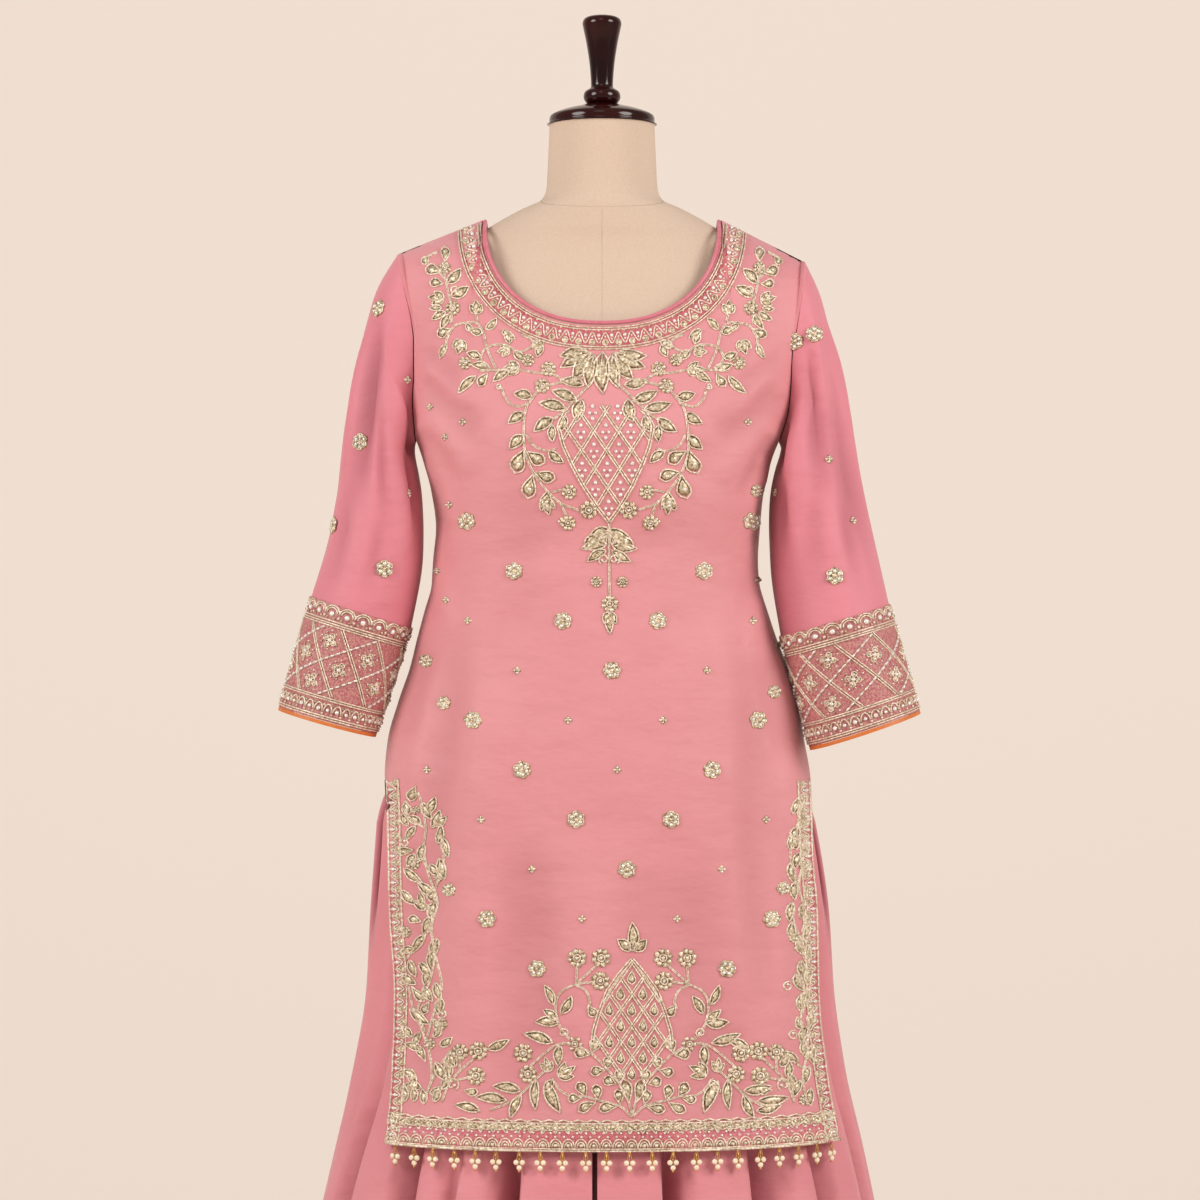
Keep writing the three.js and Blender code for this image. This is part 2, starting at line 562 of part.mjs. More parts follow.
// ---------------------------------------------------------------- neck piping and bead fringe
// The middle line of the piping: once round the neckline, just clear of the panels' edges.
function neckLine() {
  const clear = PIPING_RADIUS + 2 * SEAM_GAP;
  const edgeOf = (rows, shoulder, neck) => {
    const outward = outwardDirections(rows, false)[0];
    const inside = Array.from({ length: neck - 1 }, (_, j) => shoulder + 1 + j);
    return inside.map((column) => {
      const along = rows[0][column + 1].clone().sub(rows[0][column - 1]);
      const intoNeck = outward[column].clone().cross(along).normalize();
      return rows[0][column].clone().addScaledVector(intoNeck, clear);
    });
  };
  const atShoulder = (side) => new THREE.Vector3(side * (NECK_HALF - clear), 0, NECK_Z + 0.5);
  const front = edgeOf(frontRows, SHOULDER_COLUMNS_FRONT, NECK_COLUMNS_FRONT);
  const back = edgeOf(backRows, SHOULDER_COLUMNS_BACK, NECK_COLUMNS_BACK);
  return [atShoulder(-1), ...front, atShoulder(1), ...back];
}

function pipingGeometry() {
  const middle = neckLine();
  const sides = 6;
  const centre = new THREE.Vector3(0, 0, NECK_Z - 40);
  const points = [];
  const triangles = [];
  middle.forEach((p, i) => {
    const before = middle[(i + middle.length - 1) % middle.length];
    const after = middle[(i + 1) % middle.length];
    const along = after.clone().sub(before).normalize();
    const outward = p.clone().sub(centre).projectOnPlane(along).normalize();
    const across = along.clone().cross(outward);
    for (let k = 0; k < sides; k++) {
      const turn = (2 * Math.PI * k) / sides;
      points.push(
        p
          .clone()
          .addScaledVector(outward, PIPING_RADIUS * Math.cos(turn))
          .addScaledVector(across, PIPING_RADIUS * Math.sin(turn)),
      );
    }
    for (let k = 0; k < sides; k++) {
      const [a, b] = [i * sides + k, i * sides + ((k + 1) % sides)];
      const next = (i + 1) % middle.length;
      const [c, d] = [next * sides + ((k + 1) % sides), next * sides + k];
      triangles.push(a, b, c, a, c, d);
    }
  });
  return meshFrom(points, triangles);
}

// The strip that the bead drops hang in, from just under the hem's lowest point.
const FRINGE_WALL = 4.5; // a pearl's thickness
function fringeRows() {
  const hem = frontRows[frontRows.length - 1];
  const above = hem.map((p) => p.clone().setZ(p.z + 10));
  const proud = raised([above, hem], () => 1.5)[1];
  const lowest = Math.min(...hem.map((p) => p.z)) - 2 * SEAM_GAP;
  return [lowest, HEM_Z - FRINGE_DROP].map((z) => proud.map((p) => p.clone().setZ(z)));
}

// ---------------------------------------------------------------- sharara
// A point of a leg's outer cloth: turn 0 is the front middle, 180 the back middle.
function legPoint(turn, z, atLeft, pleats) {
  const side = atLeft ? "left" : "right";
  const edge = between(shararaSections, side, z);
  const angle = radians(turn);
  const reach = between(shararaSections, turn < 90 ? "front" : "back", z);
  const x = LEG_DIVIDE_X + (edge - LEG_DIVIDE_X) * bent(Math.sin(angle), LEG_ROUND);
  const y = -reach * bent(Math.cos(angle), LEG_ROUND);
  const swell = between(shararaSections, atLeft ? "swellLeft" : "swellRight", z);
  const fallen = THREE.MathUtils.smoothstep(PLEATS_OPEN_FROM_Z - z, 0, PLEATS_OPEN_OVER);
  const open = mix(PLEATS_CLOSED, 1, fallen);
  let height = swell * bump((turn - 90) / SWELL_HALF_TURN);
  for (const pleat of pleats) height -= pleat.depth * open * bump((turn - pleat.turn) / pleat.width);
  const radius = Math.hypot(x - LEG_DIVIDE_X, y);
  const scale = 1 + height / radius;
  return new THREE.Vector3(LEG_DIVIDE_X + (x - LEG_DIVIDE_X) * scale, y * scale, z);
}

// Columns stand on both shoulders and in the bottom of each pleat, and between pleats.
function legTurns(pleats) {
  const turns = [0];
  for (const pleat of pleats) {
    const previous = turns[turns.length - 1];
    const start = pleat.turn - pleat.width;
    if (start - previous > 6) turns.push((start + previous) / 2);
    turns.push(start, pleat.turn, pleat.turn + pleat.width);
  }
  turns.push((turns[turns.length - 1] + 180) / 2, 180);
  return turns;
}

const legHeights = [1037.7, 985, 925, 860, 805, 735, 640, 545, 450, 300, SHARARA_HEM_Z];

function legRows(atLeft, pleats) {
  const turns = legTurns(pleats);
  if (atLeft) turns.reverse();
  const side = atLeft ? -1 : 1;
  return legHeights.map((z) =>
    turns.map((turn) => {
      const point = legPoint(turn, z, atLeft, pleats);
      // The two legs part gently below the crotch and meet at a seam above it.
      const apart = z < CROTCH_Z ? LEG_PARTING : SEAM_GAP / 2 + 0.05;
      if (turn === 0 || turn === 180) point.x = LEG_DIVIDE_X + side * apart;
      return point;
    }),
  );
}

// The inner cloth of a leg, from the crotch to the hem, bowed away from the pole.
const INNER_COLUMNS = 8;
const INNER_INSET = 14; // its edges lie this far behind the outer cloth
const innerHeights = [740, 640, 540, 430, 310, 180, SHARARA_HEM_Z];

function innerRows(atLeft) {
  const side = atLeft ? -1 : 1;
  return innerHeights.map((z) => {
    const front = between(shararaSections, "front", z) - INNER_INSET;
    const back = between(shararaSections, "back", z) - INNER_INSET;
    const fall = (CROTCH_Z - z) / (CROTCH_Z - SHARARA_HEM_Z);
    return Array.from({ length: INNER_COLUMNS + 1 }, (_, j) => {
      const share = j / INNER_COLUMNS;
      const y = atLeft ? mix(-front, back, share) : mix(back, -front, share);
      const middle = Math.sin(Math.PI * share);
      const bow = -(13 + 30 * fall) * middle ** 0.7;
      const ripple = 5 * fall * Math.sin(4 * Math.PI * share) * middle;
      const apart = 1.3 + 6 * fall;
      return new THREE.Vector3(LEG_DIVIDE_X + bow + ripple + side * apart, y, z);
    });
  });
}

function waistbandRows() {
  const sides = 24;
  return [WAISTBAND_TOP_Z, WAISTBAND_FOOT_Z + SEAM_GAP].map((z) =>
    Array.from({ length: sides }, (_, j) => {
      const angle = (2 * Math.PI * j) / sides;
      const { west, east, front, back } = WAISTBAND;
      const x = (west + east) / 2 + ((east - west) / 2) * bent(Math.sin(angle), BODY_ROUND);
      const reach = Math.cos(angle) > 0 ? front : back;
      return new THREE.Vector3(x, -reach * bent(Math.cos(angle), BODY_ROUND), z);
    }),
  );
}

// ---------------------------------------------------------------- dress form and stand
function formGeometry() {
  const sides = 32;
  const rings = formSections.map((section) =>
    Array.from({ length: sides }, (_, j) => {
      const angle = (2 * Math.PI * j) / sides;
      const x = section.half * bent(Math.sin(angle), section.round);
      const reach = Math.cos(angle) > 0 ? section.front : section.back;
      const y = -reach * bent(Math.cos(angle), section.round);
      return new THREE.Vector3(THREE.MathUtils.clamp(x, -PLATE_X, PLATE_X), y, section.z);
    }),
  );
  return loft(rings);
}

// A turned piece: its profile is a list of radius and height, from its foot to its top.
function turned(profile, sides) {
  const outline = profile.map(([radius, z]) => new THREE.Vector2(radius, z));
  return new THREE.LatheGeometry(outline, sides).rotateX(Math.PI / 2);
}

const capFoot = NECK_TOP_Z + SEAM_GAP;
const CAP_HEIGHT = 20.5;
const neckCapProfile = [
  [0, capFoot],
  [51, capFoot],
  [52.5, capFoot + 1.5],
  [52.5, capFoot + 7],
  [49.5, capFoot + 10.5],
  [38, capFoot + 15],
  [24, capFoot + 18.5],
  [16, capFoot + CAP_HEIGHT],
  [0, capFoot + CAP_HEIGHT],
];
const beadFoot = capFoot + CAP_HEIGHT + SEAM_GAP;
const finialProfile = [
  [0, beadFoot],
  [13, beadFoot],
  [17.5, beadFoot + 3.5],
  [18.5, beadFoot + 8],
  [17, beadFoot + 12.5],
  [12, beadFoot + 16],
  [11, beadFoot + 20],
  [12.5, beadFoot + 40],
  [15.5, beadFoot + 60],
  [18.8, beadFoot + 76],
  [19.5, beadFoot + 81],
  [17.5, beadFoot + 85.5],
  [11, beadFoot + 88],
  [0, beadFoot + 88.5],
];
const SOCKET_TOP_Z = FOOT_HEIGHT + 16; // of the boss that holds the pole
const footProfile = [
  [0, 0],
  [FOOT_RADIUS - 3, 0],
  [FOOT_RADIUS, 3],
  [FOOT_RADIUS, 7],
  [FOOT_RADIUS - 4, 10],
  [60, FOOT_HEIGHT],
  [26, FOOT_HEIGHT + 6],
  [19, SOCKET_TOP_Z],
  [0, SOCKET_TOP_Z],
];
const poleProfile = [
  [0, SOCKET_TOP_Z + SEAM_GAP],
  [POLE_RADIUS, SOCKET_TOP_Z + SEAM_GAP],
  [POLE_RADIUS, FORM_FOOT_Z - SEAM_GAP],
  [0, FORM_FOOT_Z - SEAM_GAP],
];

// ---------------------------------------------------------------- materials and assembly
const finish = (color, roughness, metalness = 0) =>
  new THREE.MeshStandardMaterial({ color, roughness, metalness });

const pinkCrepe = finish("#dd8b93", 0.62);
const sleeveCrepe = finish("#df7a8c", 0.62);
const shararaCrepe = finish("#db8490", 0.6);
const goldCuff = finish("#b87f7c", 0.55);
const orangeBinding = finish("#c4683a", 0.6);
const pipingSatin = finish("#d56f86", 0.5);
const beadwork = finish("#d8c6a4", 0.35);
const formCotton = finish("#dcc6b0", 0.9);
const darkLacquer = finish("#2b1214", 0.2);
const footMetal = finish("#2a2627", 0.4, 0.2);

const suit = new THREE.Group();
function add(name, geometry, material) {
  const mesh = new THREE.Mesh(geometry, material);
  mesh.name = name;
  suit.add(mesh);
}

add("form_body", formGeometry(), formCotton);
add("form_neck_cap", turned(neckCapProfile, 36), darkLacquer);
add("form_finial", turned(finialProfile, 24), darkLacquer);
add("stand_pole", turned(poleProfile, 24), footMetal);
add("stand_foot", turned(footProfile, 40), footMetal);

add("kameez_front", clothWall(frontRows, WALL, false, ownSide(-1)), pinkCrepe);
add("kameez_back", clothWall(backRows, WALL, false, ownSide(1)), pinkCrepe);
add("neck_piping", pipingGeometry(), pipingSatin);
add("bead_fringe", clothWall(fringeRows(), FRINGE_WALL), beadwork);

const sleeves = [
  {
    owner: "right",
    atLeft: true,
    seam: armholeAtLeft,
    sections: sleeveAtLeft,
    foot: cuffFootAtLeft,
    folds: sleeveFoldsAtLeft,
  },
  {
    owner: "left",
    atLeft: false,
    seam: armholeAtRight,
    sections: sleeveAtRight,
    foot: cuffFootAtRight,
    folds: sleeveFoldsAtRight,
  },
];
for (const { owner, atLeft, seam, sections, foot, folds } of sleeves) {
  const cuffTop = sections[sections.length - 1];
  add("sleeve_" + owner, clothWall(sleeveRows(seam, sections, folds, atLeft), WALL, true), sleeveCrepe);
  add("cuff_" + owner, clothWall(cuffRows(cuffTop, foot), WALL, true), goldCuff);
  add("cuff_binding_" + owner, clothWall(bindingRows(cuffTop, foot), WALL, true), orangeBinding);
}

add("sharara_waistband", clothWall(waistbandRows(), WALL, true), shararaCrepe);
add("sharara_right_outer", clothWall(legRows(true, pleatsAtLeft)), shararaCrepe);
add("sharara_left_outer", clothWall(legRows(false, pleatsAtRight)), shararaCrepe);
add("sharara_right_inner", clothWall(innerRows(true)), shararaCrepe);
add("sharara_left_inner", clothWall(innerRows(false)), shararaCrepe);

export default suit;
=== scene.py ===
"""A rose salwar kameez suit with antique gold embroidery, on a beige dress form.

Sizes are in millimetres until a mesh is made. The suit faces -Y and +Z is up. The embroidery is laid
out flat, as seen from the front: x across, z up, h the height above the cloth, and each layout is
then wrapped on its panel.
"""

import math

import bpy
import numpy as np
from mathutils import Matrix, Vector
from mathutils.bvhtree import BVHTree


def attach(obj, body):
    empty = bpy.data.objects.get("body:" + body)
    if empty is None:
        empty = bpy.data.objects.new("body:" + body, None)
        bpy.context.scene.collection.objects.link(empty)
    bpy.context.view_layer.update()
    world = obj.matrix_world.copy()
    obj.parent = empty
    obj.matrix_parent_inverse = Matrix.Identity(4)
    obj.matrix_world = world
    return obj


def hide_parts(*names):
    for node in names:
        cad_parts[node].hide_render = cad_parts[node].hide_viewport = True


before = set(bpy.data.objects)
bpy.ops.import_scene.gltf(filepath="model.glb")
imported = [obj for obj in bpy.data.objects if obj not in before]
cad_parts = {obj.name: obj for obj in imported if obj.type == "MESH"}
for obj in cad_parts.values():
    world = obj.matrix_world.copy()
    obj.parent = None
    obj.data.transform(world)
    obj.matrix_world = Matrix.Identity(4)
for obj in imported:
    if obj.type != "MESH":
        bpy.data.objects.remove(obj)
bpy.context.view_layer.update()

VIEW_DISTANCE = 3600.0
VIEW_HEIGHT = 1050.0
WALL = 1.3
RIM_ANGLE = math.radians(55)
BODY_ROUND = 2.3
FOLD_STRENGTH = 1.5
SLEEVE_STRENGTH = 2.0
NECK_Z = 1430.0
NECK_HALF = 119.0
NECK_SHARE = 0.58
NECK_DROP = {-1: 112.0, 1: 58.0}
ARMPIT_Z = 1208.0
ARMHOLE_REACH = {-1: 48.0, 1: 44.0}
SLIT_Z = 875.0
HEM_Z = 522.0
LEG_DIVIDE_X = -7.0
CROTCH_Z = 742.0
SHARARA_HEM_Z = 30.0
WAISTBAND = (-162.0, 151.0, 105.0, 82.0)
WAISTBAND_TOP_Z = 1066.0
WAISTBAND_FOOT_Z = 1038.3
random = np.random.default_rng(7)


# ------------------------------------------------------------------ tables of sections
def table(columns, *rows):
    """Rows of numbers under named columns, lowest first."""
    values = np.array(sorted(rows), float)
    return {name: values[:, k] for k, name in enumerate(columns.split())}


KAMEEZ = table(
    "z left right front back",
    (1432, -124, 122, 12, 12), (1415, -166, 163, 45, 41), (1396, -207, 205, 62, 57),
    (1380, -213, 211, 71, 66), (1350, -215, 213, 80, 76), (1318, -214, 212, 88, 83),
    (1280, -210, 207, 102, 91), (1240, -200, 195, 116, 95), (1208, -185, 176, 125, 94),
    (1160, -171, 162, 123, 88), (1122, -166, 158, 116, 83), (1090, -168, 156, 112, 82),
    (1065, -170, 157, 113, 86), (1040, -177, 165, 116, 93), (1010, -185, 175, 120, 101),
    (982, -192, 186, 124, 109), (950, -203, 196, 128, 116), (910, -214, 202, 132, 122),
    (875, -217, 208, 136, 126), (850, -216, 210, 138, 128), (800, -219, 215, 141, 131),
    (744, -223, 222, 144, 134), (661, -228, 230, 148, 138), (583, -243, 243, 153, 144),
    (522, -262, 260, 158, 150),
)
SLITS = table(
    "z front_left front_right back_left back_right",
    (875, -217, 208, -217, 208), (850, -214.5, 208.5, -214.5, 208.5), (800, -212, 209, -214, 210),
    (744, -210, 213, -214, 214), (661, -204, 214, -213, 217), (583, -206, 222, -216, 223),
    (522, -211, 233, -221, 230),
)
ARMHOLE = {
    -1: table("z x", (1396, -203), (1358, -195), (1328, -188), (1305, -185.5), (1274, -185.5),
              (1246, -187), (1208, -185)),
    1: table("z x", (1388, 202), (1358, 198), (1320, 192), (1289, 187), (1262, 186), (1238, 184),
             (1208, 176)),
}
SHARARA = table(
    "z left right front back swell_left swell_right",
    (1038, -164, 153, 107, 84, 0, 0), (1010, -174, 164, 111, 92, 0, 0),
    (980, -183, 176, 115, 100, 0, 0), (930, -200, 190, 121, 108, 0, 0),
    (880, -208, 198, 126, 115, 0, 0), (850, -208, 201, 128, 118, 11, 5),
    (827, -209, 204, 129, 119, 16, 9), (744, -214, 213, 134, 124, 17, 13),
    (661, -220, 221, 138, 128, 15, 10), (583, -235, 235, 143, 134, 13, 7),
    (522, -254, 250, 148, 140, 5, 3), (450, -273, 265, 162, 156, 0, 0),
    (300, -304, 292, 188, 182, 0, 0), (150, -335, 318, 214, 208, 0, 0),
    (30, -360, 340, 236, 230, 0, 0),
)
# Sleeve sections: both ends, half depth, middle of the depth; the last two are the cuff's.
SLEEVE = {
    -1: [
        (-223, 1364, -187, 1203, 54, 0), (-233, 1334, -187, 1196, 58, -1),
        (-244, 1288, -185.5, 1187, 61, -2), (-252.5, 1231, -182.5, 1173, 61, -4),
        (-260, 1180, -179.5, 1151, 60, -6), (-266.5, 1142, -178, 1115, 58, -9),
        (-274, 1104, -180, 1076, 56, -12), (-289, 1054, -190, 1023, 53, -16),
    ],
    1: [
        (179, 1201, 217, 1357, 54, -1), (177, 1192, 226, 1324, 58, -3),
        (173, 1180, 236, 1283, 62, -6), (168.5, 1160, 247, 1228, 62, -10),
        (166.5, 1138, 257, 1176, 61, -14), (166.5, 1108, 264.5, 1138, 60, -18),
        (169, 1066, 273, 1098, 59, -24), (177, 1015, 284, 1046, 57, -34),
    ],
}
CUFF_FOOT = {-1: (-320, 945, -224, 918, 51, -24), 1: (205, 906, 313, 942, 55, -44)}


# ------------------------------------------------------------------ small mathematics
def between(columns, name, z):
    """A table's column at any height, on a smooth curve that never overshoots its rows."""
    z = np.clip(np.asarray(z, float), columns["z"][0], columns["z"][-1])
    at, value = columns["z"], columns[name]
    slope = np.diff(value) / np.diff(at)
    tangent = np.zeros(len(at))
    same = slope[:-1] * slope[1:] > 0
    total = np.where(same, slope[:-1] + slope[1:], 1)
    tangent[1:-1] = np.where(same, 2 * slope[:-1] * slope[1:] / total, 0)
    tangent[0], tangent[-1] = slope[0], slope[-1]
    k = np.clip(np.searchsorted(at, z, side="right") - 1, 0, len(at) - 2)
    span = at[k + 1] - at[k]
    t = (z - at[k]) / span
    return (
        value[k] * (1 + 2 * t) * (1 - t) ** 2
        + value[k + 1] * t * t * (3 - 2 * t)
        + span * t * (1 - t) * (tangent[k] * (1 - t) - tangent[k + 1] * t)
    )


def bent(value, exponent):
    """A sine or cosine bent to draw an oval with that exponent."""
    return np.sign(value) * np.abs(value) ** (2 / exponent)


def bump(t):
    """A soft bump of height 1 at 0, gone at 1 and -1."""
    return np.where(np.abs(t) < 1, (1 + np.cos(np.pi * np.clip(t, -1, 1))) / 2, 0)


def mix(a, b, t):
    return a + (b - a) * t


def stack(x, y, z):
    x, y, z = np.broadcast_arrays(x, y, z)
    return np.stack([x, y, z], -1)


def creases(rows, x, z):
    """The height of listed soft folds: (x, z) of both ends, half width, depth."""
    height = np.zeros(np.broadcast(x, z).shape)
    for x0, z0, x1, z1, width, depth in rows:
        dx, dz = x1 - x0, z1 - z0
        length = math.hypot(dx, dz)
        along = ((x - x0) * dx + (z - z0) * dz) / length**2
        aside = ((x - x0) * dz - (z - z0) * dx) / length
        fade = bump(np.clip(along * 2 - 1, -1, 1) ** 3)
        aside = aside + 0.35 * width * np.sin(3.1 * along + x0)
        height += depth * fade * bump(aside / (2 * width))
    return height


# ------------------------------------------------------------------ folds, listed one by one
FRONT_FOLDS = [
    (-180, 1268, -116, 1212, 13, -3.5), (-178, 1236, -122, 1168, 12, 3.0),
    (176, 1262, 110, 1204, 13, -3.5), (172, 1230, 116, 1156, 12, 3.0),
    (-150, 1040, -168, 720, 15, -4.0), (140, 1030, 166, 640, 15, -4.0),
    (-58, 830, -88, 520, 26, -5.0), (92, 800, 122, 520, 26, -5.0),
    (-182, 1300, -138, 1262, 7, -2.2), (-180, 1282, -128, 1240, 6, 1.8),
    (-176, 1222, -138, 1160, 7, -2.6), (-172, 1205, -146, 1120, 6, 2.0),
    (-168, 1180, -150, 1060, 7, -2.4), (-160, 1130, -150, 1010, 8, 2.0),
    (178, 1296, 134, 1250, 7, -2.2), (174, 1276, 124, 1226, 6, 1.8),
    (168, 1214, 132, 1146, 7, -2.8), (163, 1196, 140, 1110, 6, 2.0),
    (158, 1170, 146, 1040, 7, -2.4), (150, 1120, 146, 985, 8, 2.0),
    (-166, 1010, -196, 905, 8, -2.2), (160, 1000, 188, 880, 8, -2.4),
    (-186, 930, -194, 800, 9, 2.0), (182, 920, 194, 760, 9, 2.0),
    (-118, 980, -136, 560, 20, 2.4), (-20, 880, -22, 540, 24, 2.2), (34, 800, 48, 530, 22, -2.6),
    (150, 900, 186, 560, 12, 2.4), (-178, 780, -176, 560, 10, -2.4),
    (-70, 1150, -96, 1010, 24, -1.8), (60, 1140, 92, 1000, 24, -1.8),
    (-96, 1290, -70, 1240, 9, 1.2), (92, 1290, 66, 1240, 9, 1.2),
    (-60, 1100, -30, 1040, 16, 1.2), (40, 1090, 84, 1050, 14, 1.2),
    (-196, 870, -150, 560, 6, -1.2), (206, 860, 196, 570, 7, -1.6),
]
BACK_FOLDS = [
    (-160, 1262, -90, 1190, 15, -3.5), (158, 1258, 94, 1180, 15, -3.5),
    (-60, 1090, -74, 520, 22, -5.0), (52, 1070, 78, 520, 22, -5.0),
    (148, 1020, 166, 620, 16, -4.0), (-150, 1010, -170, 700, 15, -4.0),
    (-176, 1290, -120, 1240, 8, -2.4), (170, 1286, 116, 1230, 8, -2.4),
    (-150, 1130, -60, 1080, 12, -2.6), (-140, 1100, -40, 1066, 10, 2.2),
    (140, 1126, 50, 1086, 12, -2.6), (132, 1092, 30, 1060, 10, 2.2),
    (-10, 1000, 6, 560, 24, 2.6), (110, 900, 132, 540, 14, 2.6), (-112, 930, -140, 540, 14, 2.6),
]
# Sleeve folds: turn from the front towards +X, the shares of the length, half width, depth, drift.
SLEEVE_FOLDS = {
    -1: [
        (-32, 0.05, 0.8, 15, -6.0, 0), (22, 0.02, 0.5, 16, 4.0, 0), (150, 0.1, 0.85, 22, -6.0, 0),
        (215, 0.05, 0.7, 20, -5.0, 0), (-8, 0.25, 0.85, 8, -3.0, 42), (30, 0.4, 1.0, 9, 2.6, 26),
        (-62, 0.2, 0.75, 9, 2.4, -8), (64, 0.05, 0.45, 9, -4.0, -20), (48, 0.3, 0.8, 8, -3.0, 24),
        (-48, 0.62, 1.0, 10, -2.4, 14), (250, 0.2, 0.8, 12, 3.0, 10), (180, 0.3, 0.95, 12, 3.0, 20),
        (8, 0.7, 1.0, 8, -2.0, -10),
    ],
    1: [
        (8, 0.05, 0.75, 15, -5.0, 0), (-30, 0.1, 0.9, 16, 4.0, 0), (48, 0.3, 0.95, 16, -4.0, 0),
        (160, 0.1, 0.8, 22, -6.0, 0), (220, 0.1, 0.9, 20, -5.0, 0), (30, 0.02, 0.5, 9, 3.6, -18),
        (-58, 0.05, 0.5, 9, -4.0, 22), (-40, 0.4, 0.85, 8, -3.0, -22), (66, 0.15, 0.7, 9, 2.6, 6),
        (-10, 0.5, 1.0, 10, -2.4, -10), (28, 0.62, 1.0, 8, -2.0, 12), (190, 0.2, 0.9, 12, 3.0, -14),
    ],
}
# Painted shade on each sleeve's inner edge, where the body shades it: how dark it is painted, and how far round it
# reaches.
INNER_SHADE = {-1: 0.25, 1: 0.62}
INNER_REACH = {-1: 40.0, 1: 84.0}
# Pleat valleys of each leg: turn from the front middle, half width (degrees), depth.
PLEATS = {
    -1: [(18.5, 4.5, 22), (31, 3, 8), (44, 5, 22), (68, 6, 24), (101, 7, 24), (124, 5, 18),
         (141, 5.5, 22), (160, 5, 20)],
    1: [(15, 3.6, 20), (38, 6, 20), (55, 5, 17), (77, 5, 21), (104, 6.5, 23), (122, 5, 17),
        (143, 6, 22), (162, 4.5, 18)],
}
PLEAT_DEPTH = 1.9


# A shallow groove beside each slit of the front panel. The dark hollow that shows there is painted shade laid on the
# groove.
GROOVE_TURN = 86.5
GROOVE_DEPTH = {-1: 9.0, 1: 6.0}


# ------------------------------------------------------------------ the kameez's surface
def kameez_depth(x, z, side):
    left, right = between(KAMEEZ, "left", z), between(KAMEEZ, "right", z)
    reach = between(KAMEEZ, "front" if side < 0 else "back", z)
    share = np.minimum(np.abs(x - (left + right) / 2) / ((right - left) / 2), 1)
    return side * reach * (1 - share**BODY_ROUND) ** (1 / BODY_ROUND)


def body_point(s, z, side):
    left, right = between(KAMEEZ, "left", z), between(KAMEEZ, "right", z)
    middle, half = (left + right) / 2, (right - left) / 2
    name = "front" if side < 0 else "back"
    limit = np.where(s < 0, between(SLITS, name + "_left", z), between(SLITS, name + "_right", z))
    edge = np.where(z < SLIT_Z, np.abs(limit - middle) / half, 1.0)
    turn = np.abs(s) * np.arcsin(np.minimum(edge, 1) ** (BODY_ROUND / 2))
    x = middle + np.sign(s) * half * bent(np.sin(turn), BODY_ROUND)
    reach = between(KAMEEZ, name, z)
    return stack(x, side * reach * bent(np.cos(turn), BODY_ROUND), z)


def armhole_point(at, step, side):
    """step runs from 0 at the shoulder tip to 1 at the armpit."""
    seam = ARMHOLE[at]
    z = mix(seam["z"][-1], ARMPIT_Z, (1 - np.cos(np.pi * step)) / 2)
    y = side * ARMHOLE_REACH[side] * np.maximum(np.sin(np.pi * step), 0) ** 0.75
    return stack(between(seam, "x", z), y, z)


def top_edge(s, side):
    tip_x = np.where(s < 0, ARMHOLE[-1]["x"][-1], ARMHOLE[1]["x"][-1])
    tip_z = np.where(s < 0, ARMHOLE[-1]["z"][-1], ARMHOLE[1]["z"][-1])
    along = np.clip((np.abs(s) - NECK_SHARE) / (1 - NECK_SHARE), 0, 1)
    turn = np.radians(np.clip(s / NECK_SHARE, -1, 1) * 90)
    on_shoulder = np.abs(s) > NECK_SHARE
    neck_x = NECK_HALF * bent(np.sin(turn), 2.3)
    neck_z = NECK_Z - NECK_DROP[side] * bent(np.cos(turn), 2.3)
    x = np.where(on_shoulder, mix(np.sign(s) * NECK_HALF, tip_x, along), neck_x)
    return x, np.where(on_shoulder, mix(NECK_Z, tip_z, along), neck_z)


def yoke_point(s, share, side):
    top_x, top_z = top_edge(s, side)
    armhole_fall = (1 - np.cos(np.pi * share)) / 2
    fall = mix(share, armhole_fall, s * s)
    z = mix(top_z, ARMPIT_Z, fall)
    edges = {at: armhole_point(at, share, side) for at in (-1, 1)}
    pick = (s < 0)[..., None]
    edge = np.where(pick, edges[-1], edges[1])
    tip_x = np.where(s < 0, ARMHOLE[-1]["x"][-1], ARMHOLE[1]["x"][-1])
    pit_x = np.where(s < 0, ARMHOLE[-1]["x"][0], ARMHOLE[1]["x"][0])
    bowed = (edge[..., 0] - mix(tip_x, pit_x, armhole_fall)) * s**4
    x = mix(top_x, body_point(s, ARMPIT_Z, side)[..., 0], fall) + bowed
    at_edge = kameez_depth(edge[..., 0], edge[..., 2], side)
    edge_shift = (edge[..., 1] - at_edge) * np.abs(s) ** 10
    beside = np.minimum(np.abs(s) / NECK_SHARE, 1) ** 16
    seam_shift = -kameez_depth(top_x, top_z, side) * beside * (1 - share) ** 4
    shift = edge_shift + np.where(np.abs(s) == 1, 0, seam_shift)
    return stack(x, kameez_depth(x, z, side) + shift, z)


def outward(rows, wraps=False):
    """The unit normals of a grid of points, rows going down, left to right as seen from outside."""
    down = np.gradient(rows, axis=0)
    if wraps:
        east = (np.roll(rows, -1, 1) - np.roll(rows, 1, 1)) / 2
    else:
        east = np.gradient(rows, axis=1)
    normal = np.cross(down, east)
    return normal / np.maximum(np.linalg.norm(normal, axis=-1, keepdims=True), 1e-9)


